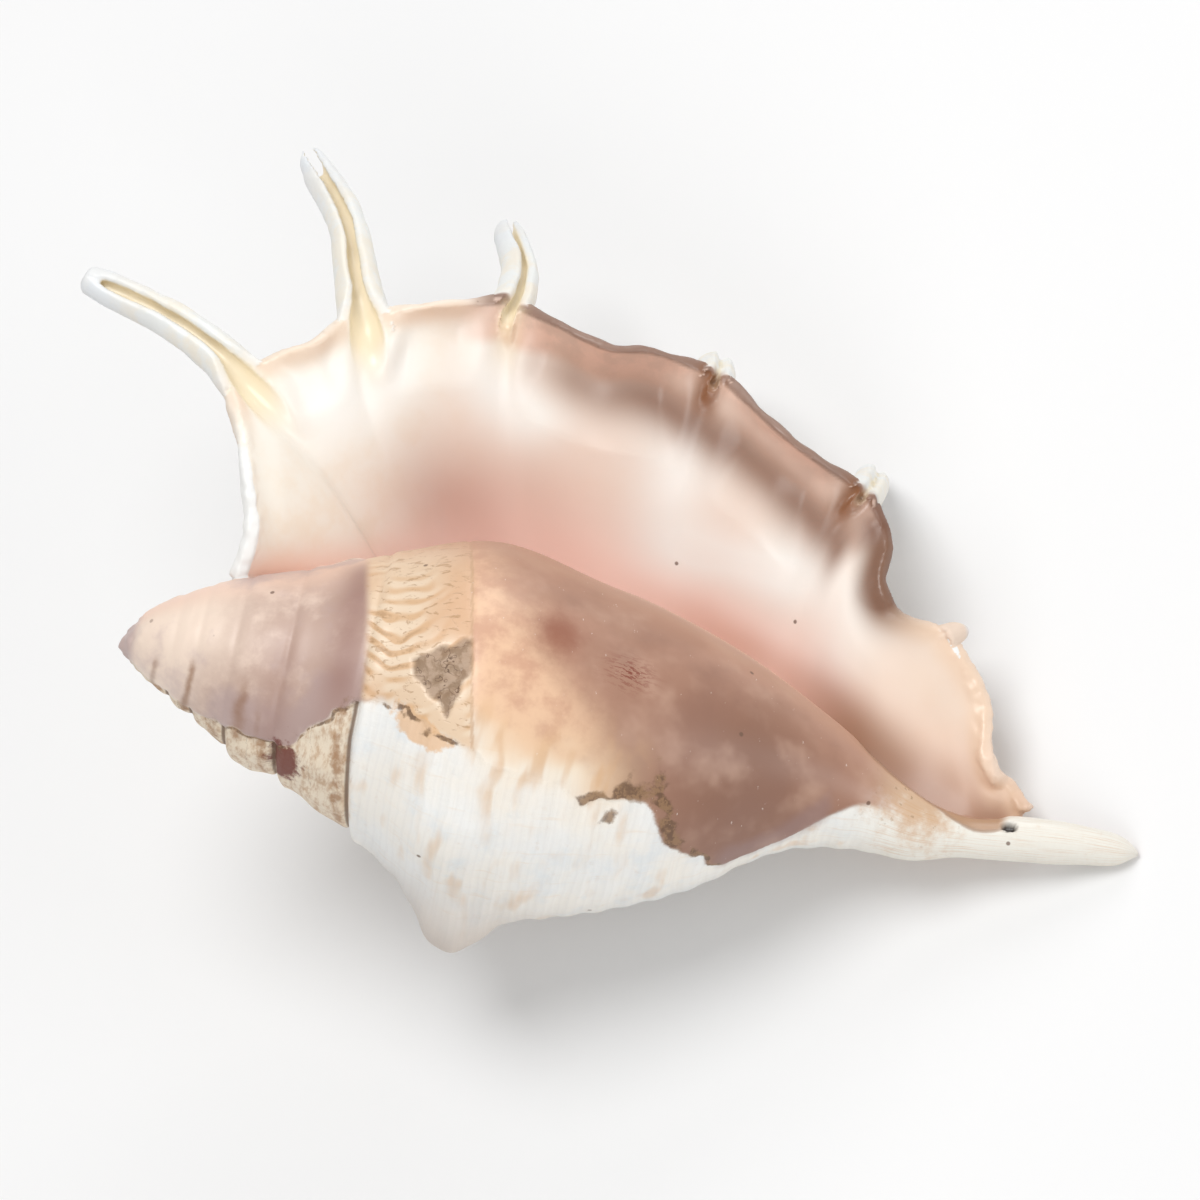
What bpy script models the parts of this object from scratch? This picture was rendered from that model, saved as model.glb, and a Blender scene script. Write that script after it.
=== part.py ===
"""Spider conch shell, one grown piece: a coiled spire and body whorl, a flared outer lip with six
hollow digits, and the siphonal canal.

The shell is first laid out in its own frame, in millimetres. X runs down the coiling axis from the
apex to the tip of the canal, Y points across to the outer lip and Z out of the aperture side. An
angle round the axis counts from +Z towards -Y, which is the way the shell grew. The finished solid
is then turned onto its back, the way it rests on a table, and stored in metres with +Z up.
"""

import math

import bpy
import numpy as np
from mathutils import Euler, Vector

MM = 0.001

# ---- Driving dimensions, in millimetres and degrees --------------------------------------------
LENGTH = 165.5           # apex to canal tip
WALL = 2.3               # shell wall
RIM_EXTRA = 0.5          # the lip is this much thicker at its free edge
TILT = 50.0              # direction, from Z towards Y, in which the outline radii are stated
WHORL_GROWTH = 1.45      # size of one whorl against the one before it
RIDGE_ANGLE = -50.0      # angle of the columellar ridge
FRONT_ANGLE = 130.0      # angle opposite it, where the free side of the whorl is stated
LIP_START = 186.0        # angle where the outer wall leaves the solid core
CAVITY_DEPTH = 0.55      # core radius deep in the aperture, as a share of the outer radius
SLIT_HALF_ANGLE = 24.0   # half of the open slit along a digit
DIGIT_REACH = 16.0       # how far into the lip a digit's channel runs
GUTTER_DEPTH = 1.7       # hollow along the lip, inside its raised rim
GUTTER_WIDTH = 15.0
SPREAD = 1.35            # how much faster the lip fans out towards the spire than towards the canal

REST_ROLL = -17.3          # turn about the coiling axis, then about Y, that lays it on its feet
REST_PITCH = 21.5
FOOT_WEAR = 0.35         # depth of the flats worn on the points that it rests on

VOXEL = 0.9              # sampling of the joined solid
TRIANGLES = 9600        # facets kept in the finished solid

# ---- Outlines: distance along the axis, then radius ---------------------------------------------
FREE_SIDE = [
    (0, .5), (1.2, 1.1), (3, 2.4), (6.1, 4.6), (10.5, 6.9), (15.2, 9.3), (22.9, 14.2), (28.2, 15.3),
    (33, 17), (42, 21.6), (51.6, 28), (58, 30.3), (63, 30.6), (69, 30.5), (77.6, 28.3), (89.6, 23.6),
    (98.4, 18.8), (106, 13), (113, 9.6), (122, 7.7), (130, 6.2), (138, 4.0), (146, 3.8), (157, 3.1),
    (163, 2.1), (LENGTH, .4),
]
RIDGE_SIDE = [
    (0, .5), (1.2, 2.6), (3.1, 5.8), (5.9, 8.3), (11, 11.2), (17.7, 14.2), (30.5, 18.8), (41, 23.1),
    (51.5, 27.0), (59.6, 27.8), (71.4, 25.4), (86.7, 22), (100.6, 17.4), (113, 12), (122, 8.1),
    (130, 6.0), (138, 4.0), (146, 3.8), (157, 3.1), (163, 2.1), (LENGTH, .4),
]
# The canal's centre sways off the axis: distance along it, then offset.
SWAY = [(0, 0), (112, 0), (122, -.4), (130, -1.9), (138, -2.0), (146, -1.2), (157, -.1), (LENGTH, .4)]
# Where the last whorl's upper edge lies on the spire: angle, then distance along the axis.
SUTURE = [(100, 41), (130, 42), (180, 43), (220, 40), (250, 34), (270, 29), (290, 23), (310, 17.7)]
# Knobs on the shoulder: distance along the axis, angle, height, half length, half width in degrees.
KNOBS = [(60.5, 130, 6.8, 6.4, 17), (63, 188, 9, 8, 19), (56, 80, 1.6, 6, 14)]
# The last knob stands on the free wall: share along the lip, share out along it, height, half widths.
WALL_KNOB = (.30, .30, 6.5, .055, .10)

# ---- The lip's free edge -----------------------------------------------------------------------
# Each stretch lies between two digits: points x, y, z and the direction in which the lip leaves.
EDGES = [
    [(17.7, 10.9, 9.1, -.2, -.64, .75), (18.1, 16.7, 15, -.6, -.2, .8), (14.9, 24.3, 20, -.8, .1, .6),
     (12.1, 31.6, 23, -.85, .2, .4), (9, 36, 24, -.85, .3, .2)],
    [(12, 43.5, 25, -.6, .65, .4), (15.8, 44.4, 26, -.4, .7, .6), (20.9, 48, 26.5, -.35, .7, .6),
     (23.5, 54, 26, -.35, .8, .4)],
    [(31.5, 58.5, 27, -.1, .8, .5), (37.6, 58.3, 29, 0, .55, .85), (44, 60.5, 29, 0, .6, .8),
     (46, 62, 27, 0, .7, .6)],
    [(53.5, 62, 27, .1, .6, .8), (58.6, 58.9, 29.5, .1, .5, .85), (67.1, 55.9, 30, .1, .5, .85),
     (73.4, 57.6, 29.5, .05, .5, .85), (80.5, 58.5, 26, .05, .6, .75)],
    [(88, 56, 25.5, .2, .6, .75), (98.1, 47.2, 27, .3, .45, .85), (107, 44, 22, .35, .5, .8)],
    [(114.5, 42, 19, .6, .6, .5), (116.6, 37.7, 19, .85, .3, .4), (116.8, 30.9, 17, .85, .3, .4),
     (119.9, 27.1, 15, .7, .5, .4), (126, 25.4, 13.5, .55, .7, .3)],
    [(132, 26, 12.5, .8, .4, .3), (136.8, 17.6, 9, .9, 0, .4), (138.3, 8.6, 5, .8, 0, .6),
     (140.2, 6.2, 3, .5, .2, .8), (143.4, 7.0, 1.8, .4, .3, .8), (145.8, 3.9, .5, .4, -.3, .8)],
]
# Each digit: its centre line, its outer radius at root, middle and tip, and the way its slit faces.
DIGITS = [
    {"path": [(10.5, 40.5, 22.5), (4, 45.5, 23), (-5, 50.3, 23), (-17.6, 55.3, 22)],
     "radii": (3.6, 2.9, 2.4), "facing": (.15, -.45, .9)},
    {"path": [(27.3, 56.5, 24), (24.6, 64, 25), (20.7, 76.1, 25), (13.3, 90.2, 21.5)],
     "radii": (3.9, 2.8, 2.3), "facing": (-.1, -.3, .95)},
    {"path": [(49.5, 63.5, 25), (50.2, 70, 23.5), (49.6, 79, 20), (46.5, 90.5, 14.5)],
     "radii": (3.6, 2.7, 2.2), "facing": (.3, -.1, .95)},
    {"path": [(84.3, 58.5, 23.5), (84.5, 63.5, 20.5), (84.3, 70.5, 14), (84, 77, 5)],
     "radii": (3.4, 2.8, 2.4), "facing": (.2, .3, .95)},
    {"path": [(111, 45, 18.5), (112, 49.5, 15.5), (112.8, 57, 9.5), (113, 64.5, 2)],
     "radii": (3.2, 2.7, 2.3), "facing": (.4, .3, .85)},
    {"path": [(128.6, 26, 12), (129.9, 27.5, 11.6), (131, 28.6, 11.2), (132, 29.5, 10.8)],
     "radii": (2.6, 2.4, 2.2), "facing": (-.2, -.4, .9)},
]

SIN_TILT, COS_TILT = math.sin(math.radians(TILT)), math.cos(math.radians(TILT))


# ---- Curves ------------------------------------------------------------------------------------
def ramp(start, end, value):
    """0 before start, 1 after end, smooth in between."""
    u = np.clip((np.asarray(value, float) - start) / (end - start), 0, 1)
    return u * u * (3 - 2 * u)


def unit(vectors):
    return vectors / np.maximum(np.linalg.norm(vectors, axis=-1, keepdims=True), 1e-12)


def curve(points, at):
    """A smooth curve through the points, whose first number is the place along it."""
    table = np.asarray(points, float)
    place, value = table[:, 0], table[:, 1:]
    slope = np.diff(value, axis=0) / np.diff(place)[:, None]
    slope = np.vstack([slope[:1], (slope[1:] + slope[:-1]) / 2, slope[-1:]])
    at = np.clip(np.asarray(at, float), place[0], place[-1])
    k = np.clip(np.searchsorted(place, at, "right") - 1, 0, len(place) - 2)
    step = (place[k + 1] - place[k])[..., None]
    t = (at - place[k])[..., None] / step
    found = (
        (2 * t**3 - 3 * t**2 + 1) * value[k]
        + (t**3 - 2 * t**2 + t) * step * slope[k]
        + (3 * t**2 - 2 * t**3) * value[k + 1]
        + (t**3 - t**2) * step * slope[k + 1]
    )
    return found[..., 0] if value.shape[1] == 1 else found


def along(points, count):
    """count places evenly spaced along a smooth line through the points."""
    table = np.asarray(points, float)
    gaps = np.linalg.norm(np.diff(table[:, :3], axis=0), axis=1)
    place = np.concatenate([[0], np.cumsum(gaps)])
    return curve(np.column_stack([place, table]), np.linspace(0, place[-1], count))


# ---- Body whorl and spire ----------------------------------------------------------------------
def on_ring(x, angle, radius):
    """The point at an angle and radius round the coiling axis."""
    x, angle, radius = np.broadcast_arrays(x, np.radians(angle), radius)
    sway = curve(SWAY, x)
    return np.stack(
        [x, sway * SIN_TILT - radius * np.sin(angle), sway * COS_TILT + radius * np.cos(angle)], -1
    )


def plain_radius(x, angle):
    ridge = .5 + .5 * np.cos(np.radians(angle - RIDGE_ANGLE))
    return curve(FREE_SIDE, x) * (1 - ridge) + curve(RIDGE_SIDE, x) * ridge


def outer_radius(x, angle):
    """Radius of the outside, with the last whorl's growth and its knobs."""
    growth = WHORL_GROWTH ** (np.clip(angle - FRONT_ANGLE, 0, 200) / 360) - 1
    last_whorl = ramp(38, 50, x) * (1 - ramp(105, 125, x))
    radius = plain_radius(x, angle) * (1 + growth * last_whorl)
    for knob_x, knob_angle, height, half_length, half_width in KNOBS:
        away = ((x - knob_x) / half_length) ** 2 + ((angle - knob_angle) / half_width) ** 2
        radius = radius + height * np.exp(-away**1.3)
    return radius


def core_radius(x, angle):
    """Radius of the solid core, which leaves the outside to make room for the aperture."""
    deep = plain_radius(x, angle) * (CAVITY_DEPTH + (1 - CAVITY_DEPTH) * ramp(225, 270, angle))
    past_suture = ramp(1, 10, x - curve(SUTURE, angle))
    hollow = ramp(LIP_START + 2, LIP_START + 40, angle) * past_suture * (1 - ramp(106, 122, x))
    return outer_radius(x, angle) * (1 - hollow) + deep * hollow


def core_surface(rings, spokes):
    """Vertices and faces of the core, closed at the apex and the canal tip."""
    x = np.linspace(0, LENGTH, rings)[:, None]
    angle = np.linspace(-90, 270, spokes, endpoint=False)[None]
    points = on_ring(x, angle, core_radius(x, angle)).reshape(-1, 3)
    ids = np.arange(rings * spokes).reshape(rings, spokes)
    turned = np.roll(ids, -1, axis=1)
    sides = np.stack([ids[:-1], turned[:-1], turned[1:], ids[1:]], -1).reshape(-1, 4)
    return points, [*sides.tolist(), ids[0][::-1].tolist(), ids[-1].tolist()]


# ---- Digits ------------------------------------------------------------------------------------
def digit_length(digit):
    return np.linalg.norm(np.diff(np.asarray(digit["path"], float), axis=0), axis=1).sum()


def digit_section(digit, place, side, outside):
    """Points of a digit's C-shaped wall. place is 0 at its root and 1 at its tip, and negative in
    the lip; side runs from -1 to 1 round the C; outside is 1 outside and 0 in the channel."""
    path = np.asarray(digit["path"], float)
    share = np.linspace(0, 1, len(path))
    key = np.column_stack([share, path])
    middle = curve(key, place)
    heading = unit(curve(key, np.clip(place + .02, 0, 1)) - curve(key, np.clip(place - .02, 0, 1)))
    middle = middle + np.minimum(place, 0)[:, None] * digit_length(digit) * heading
    facing = np.asarray(digit["facing"], float)
    facing = unit(facing - (heading @ facing)[:, None] * heading)
    across = np.cross(heading, facing)
    root, centre, tip = digit["radii"]
    radius = curve([(-.4, root * 1.5), (0, root), (.45, centre), (1, tip)], place)
    channel = radius * (.62 - .24 * ramp(-.3, .35, place))
    radius = radius * (1 - .25 * ramp(.9, 1, place))
    radius = channel + (radius - channel) * outside
    reach = 70 + 35 * ramp(-.4, 0, place) + (75 - SLIT_HALF_ANGLE) * ramp(-.05, .32, place)
    turn = np.radians(side * reach)
    return middle + radius[:, None] * (np.sin(turn)[:, None] * across - np.cos(turn)[:, None] * facing)


# ---- Outer lip ---------------------------------------------------------------------------------
def edge_stretches():
    """EDGES with each end at a digit moved onto the side of that digit's root."""
    stretches = [[list(point) for point in stretch] for stretch in EDGES]
    for k, digit in enumerate(DIGITS):
        before, after = digit_section(digit, np.zeros(2), np.array([-1., 1.]), np.full(2, .3))
        stretches[k][-1][:3] = before
        stretches[k + 1][0][:3] = after
    return stretches


def lip_columns(per_mm, digit_columns):
    """Free edge points, the lip's direction there, each column's digit (or -1) and its side."""
    stretches = edge_stretches()
    parts, digit_of, side = [], [], []
    for k, stretch in enumerate(stretches):
        length = np.linalg.norm(np.diff(np.asarray(stretch)[:, :3], axis=0), axis=1).sum()
        count = max(4, int(length * per_mm))
        parts.append(along(stretch, count)[(k > 0):(None if k == len(DIGITS) else -1)])
        digit_of += [-1] * len(parts[-1])
        side += [0.] * len(parts[-1])
        if k < len(DIGITS):
            mix = np.linspace(0, 1, digit_columns)[:, None]
            parts.append(np.asarray(stretch[-1]) * (1 - mix) + np.asarray(stretches[k + 1][0]) * mix)
            digit_of += [k] * digit_columns
            side += list(np.linspace(-1, 1, digit_columns))
    table = np.vstack(parts)
    return table[:, :3], unit(table[:, 3:]), np.array(digit_of), np.array(side)


def lip_grids(per_mm, rows, digit_columns):
    """Inner and outer grids of the lip, one column for each place along its free edge, and rows
    from its root, buried in the core, to that edge. Also each column's digit and side."""
    edge, leaving, digit_of, side = lip_columns(per_mm, digit_columns)
    share = np.concatenate([[0], np.cumsum(np.linalg.norm(np.diff(edge, axis=0), axis=1))])
    share = share / share[-1]
    first_x = SUTURE[2][1] - 1 + (146 - SUTURE[2][1] + 1) * share**SPREAD
    start = on_ring(first_x, LIP_START, outer_radius(first_x, LIP_START) - WALL)
    growing = np.array([0, -math.cos(math.radians(LIP_START)), -math.sin(math.radians(LIP_START))])
    span = np.linalg.norm(edge - start, axis=1)[:, None]
    t = (np.linspace(0, 1, rows) ** .9)[None, :, None]
    first, second = (start + growing * span * .45)[:, None], (edge - leaving * span * .33)[:, None]
    inner = (
        start[:, None] * (1 - t) ** 3
        + first * 3 * t * (1 - t) ** 2
        + second * 3 * t**2 * (1 - t)
        + edge[:, None] * t**3
    )
    buried = [
        on_ring(first_x, LIP_START - back, outer_radius(first_x, LIP_START - back) - WALL - sink)
        for back, sink in ((24, 1.6), (16, .9), (8, .3))
    ]
    inner = np.concatenate([np.stack(buried, 1), inner], 1)
    out = np.concatenate([[0, 0, 0], t.ravel()])[None]

    facing = unit(np.cross(np.gradient(inner, axis=0), np.gradient(inner, axis=1)))
    for _ in range(3):
        facing[1:-1] = unit(facing[:-2] + 2 * facing[1:-1] + facing[2:])
    from_edge = np.linalg.norm(inner[:, -1:] - inner, axis=2)
    near_digit = np.min(
        [np.linalg.norm(edge - np.asarray(d["path"][0]), axis=1) for d in DIGITS], axis=0
    )
    valley = ramp(4, 9, near_digit)[:, None]
    gutter = GUTTER_DEPTH * valley * np.sin(np.pi * np.clip(from_edge / GUTTER_WIDTH, 0, 1))
    inner = inner - facing * (gutter * (share > .05)[:, None])[..., None]

    knob_u, knob_t, height, half_u, half_t = WALL_KNOB
    knob = height * np.exp(-(((share[:, None] - knob_u) / half_u) ** 2) - ((out - knob_t) / half_t) ** 2)
    thickness = WALL + RIM_EXTRA * ramp(.8, 1, out) + knob
    outer = inner - facing * thickness[..., None]

    for k, digit in enumerate(DIGITS):
        reach = min(DIGIT_REACH, digit_length(digit) * 1.3)
        for i in np.flatnonzero(digit_of == k):
            blend = (1 - ramp(0, reach, from_edge[i]))[:, None]
            place = -np.minimum(from_edge[i] / digit_length(digit), .9)
            around = np.full(len(place), side[i])
            inner[i] += (digit_section(digit, place, around, 0 * around) - inner[i]) * blend
            outer[i] += (digit_section(digit, place, around, 0 * around + 1) - outer[i]) * blend
    return inner, outer, digit_of, side


class Solid:
    """Vertices and quads of a closed wall with an inner and an outer skin."""

    def __init__(self):
        self.points, self.faces, self.count = [], [], 0

    def add(self, grid):
        ids = self.count + np.arange(grid.shape[0] * grid.shape[1]).reshape(grid.shape[:2])
        self.points.append(grid.reshape(-1, 3))
        self.count += ids.size
        return ids

    def skin(self, ids, flip):
        quads = np.stack([ids[:-1, :-1], ids[1:, :-1], ids[1:, 1:], ids[:-1, 1:]], -1).reshape(-1, 4)
        self.faces += (quads[:, ::-1] if flip else quads).tolist()

    def rim(self, loop, bulge):
        """Closes the wall along a loop of (inner, outer, next inner point inside the skin)."""
        points = np.vstack(self.points)
        inside, outside, behind = (points[np.array(ids)] for ids in zip(*loop, strict=True))
        gap = np.linalg.norm(inside - outside, axis=1, keepdims=True)
        middle = self.add(((inside + outside) / 2 + unit(inside - behind) * gap * bulge)[:, None])
        for k in range(len(loop)):
            n = (k + 1) % len(loop)
            self.faces.append([loop[k][0], middle[k, 0], middle[n, 0], loop[n][0]])
            self.faces.append([middle[k, 0], loop[k][1], loop[n][1], middle[n, 0]])


def lip_surface(per_mm, rows, digit_columns, digit_rows):
    """Vertices and faces of the lip with its digits, one closed wall."""
    inner, outer, digit_of, side = lip_grids(per_mm, rows, digit_columns)
    solid = Solid()
    inside, outside = solid.add(inner), solid.add(outer)
    solid.skin(inside, False)
    solid.skin(outside, True)
    last, row_count = inside.shape[0] - 1, inside.shape[1]

    digits = {}
    for k, digit in enumerate(DIGITS):
        columns = np.flatnonzero(digit_of == k)
        steps = max(6, int(digit_rows * digit_length(digit) / digit_length(DIGITS[1])))
        place = np.linspace(0, 1, steps + 1)[1:]
        skins = []
        for skin, share in ((inside, 0.), (outside, 1.)):
            grid = np.stack([
                digit_section(digit, place, np.full(steps, side[i]), np.full(steps, share))
                for i in columns
            ])
            ids = np.concatenate([skin[columns, -1:], solid.add(grid)], 1)
            solid.skin(ids, share == 1)
            skins.append(ids)
        digits[k] = skins

    loop = [(inside[i, 0], outside[i, 0], inside[i, 1]) for i in range(last + 1)]
    loop += [(inside[last, j], outside[last, j], inside[last - 1, j]) for j in range(1, row_count - 1)]
    column = last
    while column >= 0:
        k = digit_of[column]
        if k < 0:
            loop.append((inside[column, -1], outside[column, -1], inside[column, -2]))
            column -= 1
            continue
        ids, wall = digits[k]
        tip = ids.shape[1] - 1
        loop += [(ids[-1, j], wall[-1, j], ids[-2, j]) for j in range(tip)]
        loop += [(ids[c, tip], wall[c, tip], ids[c, tip - 1]) for c in reversed(range(len(ids)))]
        loop += [(ids[0, j], wall[0, j], ids[1, j]) for j in reversed(range(tip))]
        column -= len(ids)
    loop += [(inside[0, j], outside[0, j], inside[1, j]) for j in range(row_count - 2, 0, -1)]
    solid.rim(loop, .33)
    return np.vstack(solid.points), solid.faces


# ---- The solid ---------------------------------------------------------------------------------
def shell_material():
    material = bpy.data.materials.new("shell")
    material.use_nodes = True
    shader = material.node_tree.nodes["Principled BSDF"]
    shader.inputs["Base Color"].default_value = (.86, .72, .62, 1)
    shader.inputs["Roughness"].default_value = .3
    shader.inputs["Metallic"].default_value = 0
    return material


def add_object(name, points, faces):
    mesh = bpy.data.meshes.new(name)
    mesh.from_pydata((np.asarray(points) * MM).tolist(), [], faces)
    mesh.update()
    shape = bpy.data.objects.new(name, mesh)
    bpy.context.scene.collection.objects.link(shape)
    return shape


def join_surfaces(*surfaces):
    """Several closed surfaces as one list of points and faces."""
    points, faces, count = [], [], 0
    for some_points, some_faces in surfaces:
        faces += [[i + count for i in face] for face in some_faces]
        points.append(some_points)
        count += len(some_points)
    return np.vstack(points), faces


def corners(shape):
    """Lowest and highest corner of an object as its modifiers leave it, in world space."""
    bpy.context.view_layer.update()
    evaluated = shape.evaluated_get(bpy.context.evaluated_depsgraph_get())
    mesh = evaluated.to_mesh()
    places = np.array([evaluated.matrix_world @ vertex.co for vertex in mesh.vertices])
    evaluated.to_mesh_clear()
    return places.min(0), places.max(0)


def face_count(shape):
    bpy.context.view_layer.update()
    evaluated = shape.evaluated_get(bpy.context.evaluated_depsgraph_get())
    mesh = evaluated.to_mesh()
    mesh.calc_loop_triangles()
    count = len(mesh.loop_triangles)
    evaluated.to_mesh_clear()
    return count


def make_shell():
    core = core_surface(rings=300, spokes=240)
    lip = lip_surface(per_mm=1, rows=44, digit_columns=17, digit_rows=26)
    shell = add_object("shell", *join_surfaces(core, lip))
    shell.data.materials.append(shell_material())

    joined = shell.modifiers.new("one_solid", "REMESH")
    joined.mode = "VOXEL"
    joined.voxel_size = VOXEL * MM
    eased = shell.modifiers.new("eased", "SMOOTH")
    eased.factor = .5
    eased.iterations = 3
    sampled = face_count(shell)
    coarse = shell.modifiers.new("facets", "DECIMATE")
    coarse.ratio = TRIANGLES / sampled
    coarse.use_collapse_triangulate = True
    return shell


def lay_down(shell):
    """Turns the shell onto its back, centres it over the origin and wears its feet flat at z = 0."""
    shell.rotation_euler = Euler((math.radians(REST_ROLL), math.radians(REST_PITCH), 0), "XYZ")
    low, high = corners(shell)
    shell.location = Vector((-(low[0] + high[0]) / 2, -(low[1] + high[1]) / 2, -low[2] - FOOT_WEAR * MM))
    size, depth = .4, .05
    bpy.ops.mesh.primitive_cube_add(size=1, location=(0, 0, -depth / 2))
    table = bpy.context.object
    table.name = "table_cutter"
    table.scale = (size, size, depth)
    table.hide_render = True
    table.display_type = "WIRE"
    worn = shell.modifiers.new("worn_feet", "BOOLEAN")
    worn.operation = "DIFFERENCE"
    worn.solver = "EXACT"
    worn.object = table


def main():
    for old in list(bpy.data.objects):
        bpy.data.objects.remove(old)
    lay_down(make_shell())


main()
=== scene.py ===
"""Spider conch shell: the finished surface, its materials, and a studio round it.

The shell is one grown piece. It is laid out in its own frame, in millimetres: X runs down the coiling
axis from the apex to the tip of the canal, Y points across to the outer lip and Z out of the aperture
side. An angle round the axis counts from +Z towards -Y, the way the shell grew. The joined surface is
remeshed, gets its relief and its named surface fields, and is then turned onto its back, where the
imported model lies.
"""

import itertools
import math

import bpy
import numpy as np
from mathutils import Euler, Matrix, Vector
from mathutils.bvhtree import BVHTree


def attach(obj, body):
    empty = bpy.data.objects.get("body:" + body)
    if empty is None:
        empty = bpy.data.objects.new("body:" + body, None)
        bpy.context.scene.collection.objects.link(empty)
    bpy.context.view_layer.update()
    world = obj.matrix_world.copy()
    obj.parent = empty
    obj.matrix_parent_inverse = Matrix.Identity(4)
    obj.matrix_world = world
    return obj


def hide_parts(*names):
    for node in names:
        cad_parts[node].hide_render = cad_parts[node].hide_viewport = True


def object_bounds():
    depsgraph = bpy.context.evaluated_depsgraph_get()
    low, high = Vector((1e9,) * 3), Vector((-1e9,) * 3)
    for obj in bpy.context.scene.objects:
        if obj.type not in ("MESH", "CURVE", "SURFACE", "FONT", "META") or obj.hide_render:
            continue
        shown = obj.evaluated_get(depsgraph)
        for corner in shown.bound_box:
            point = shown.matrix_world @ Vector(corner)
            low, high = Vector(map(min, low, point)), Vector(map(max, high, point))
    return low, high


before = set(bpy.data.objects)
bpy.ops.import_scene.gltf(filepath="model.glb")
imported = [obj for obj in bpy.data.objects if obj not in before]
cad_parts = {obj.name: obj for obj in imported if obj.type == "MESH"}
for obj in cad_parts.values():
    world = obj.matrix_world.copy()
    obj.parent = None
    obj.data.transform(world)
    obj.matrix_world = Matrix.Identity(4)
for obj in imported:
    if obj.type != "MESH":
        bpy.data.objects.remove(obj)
CAD_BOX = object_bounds()

MM = 0.001

# ---- Driving dimensions, in millimetres and degrees --------------------------------------------
LENGTH = 165.5           # apex to canal tip
WALL = 2.3               # shell wall
RIM_EXTRA = 0.5          # the lip is this much thicker at its free edge
TILT = 50.0              # direction, from Z towards Y, in which the outline radii are stated
WHORL_GROWTH = 1.45      # size of one whorl against the one before it
RIDGE_ANGLE = -50.0      # angle of the columellar ridge
FRONT_ANGLE = 130.0      # angle opposite it, where the free side of the whorl is stated
LIP_START = 186.0        # angle where the outer wall leaves the solid core
CAVITY_DEPTH = 0.55      # core radius deep in the aperture, as a share of the outer radius
SLIT_WAVE = 3.0          # the slit's edges wander by this angle
SHALLOW = 0.34           # shift of a closed channel towards its slit, as a share of the radius
SPREAD = 1.35            # how much faster the lip fans out towards the spire than towards the canal
EVENING = 150            # smoothing passes that even the lip's flare between its digits
LIP_FIRST = 42           # the lip's root starts here along the axis, and is this long
LIP_LENGTH = 104
LIP_TURN = 110           # degrees of winding from the lip's root to its edge
ROW_SPACING = .9         # below 1, the lip's rows lie closer together at its edge
ROOT_PULL = .45          # how far the lip keeps its direction at its root and at its edge, as
EDGE_PULL = .33          # shares of its width
EDGE_SHARPNESS = 8       # how closely the edge's own bends stay at the edge
BURIED = [(24, 1.6), (16, .9), (8, .3)]  # rows under the core: degrees back, then depth
CALLUS_RADIUS = 28       # radii that turn an angle on the callus and on the back into an arc
BACK_RADIUS = 25
PATCH_X, PATCH_ARC = 52, 13  # middle of the worn patch, and the directions that its sides face
PATCH_SIDES = [(.95, .3), (-.5, -.87), (-.85, .2), (-.65, .75)]
HOLE_X, HOLE_HEIGHT = 144.4, .5  # the small hole at the gully's end

RIM_BULGE = 0.33         # how far a free edge rounds out, as a share of the wall
SLIT_BULGE = 0.08

REST_ROLL = -17.3        # turn about the coiling axis, then about Y, that lays it on its feet
REST_PITCH = 21.5
FOOT_WEAR = 0.35         # depth of the flats worn on the points that it rests on

VOXEL = 0.42

# ---- Outlines: distance along the axis, then radius ---------------------------------------------
FREE_SIDE = [
    (0, .5), (1.2, 1.1), (3, 2.4), (6.1, 4.6), (10.5, 6.9), (15.2, 9.3), (22.9, 14.2), (28.2, 15.3),
    (33, 17), (42, 21.6), (51.6, 28), (58, 30.3), (63, 30.6), (69, 30.5), (77.6, 28.3), (89.6, 23.6),
    (98.4, 18.8), (106, 13), (113, 9.6), (122, 7.7), (130, 6.2), (138, 4.0), (146, 3.8), (157, 3.1),
    (163, 2.1), (LENGTH, .4),
]
RIDGE_SIDE = [
    (0, .5), (1.2, 2.6), (3.1, 5.8), (5.9, 8.3), (11, 11.2), (17.7, 14.2), (30.5, 18.8), (41, 23.1),
    (51.5, 27.0), (59.6, 27.8), (71.4, 25.4), (86.7, 22), (100.6, 17.4), (113, 11.6), (122, 7.0),
    (130, 4.4), (138, 2.9), (146, 3.6), (157, 3.1), (163, 2.1), (LENGTH, .4),
]
# The canal's centre sways off the axis: distance along it, then offset.
SWAY = [(0, 0), (112, 0), (122, -.4), (130, -1.9), (138, -2.0), (146, -1.2), (157, -.1), (LENGTH, .4)]
# Where the last whorl's upper edge lies on the spire: angle, then distance along the axis.
SUTURE = [
    (60, 39.6), (100, 41), (130, 42), (180, 43), (220, 40), (250, 34), (270, 29), (290, 23), (310, 17.7),
]
# Knobs on the shoulder: distance along the axis, angle, height, half length, half width in degrees.
KNOBS = [(60.5, 130, 6.8, 6.4, 17), (63, 188, 9, 8, 19), (56, 80, 1.6, 6, 14)]
# The last knob stands on the free wall: share along the lip, share out along it, height, half widths.
WALL_KNOB = (.30, .30, 6.5, .055, .10)

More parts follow.
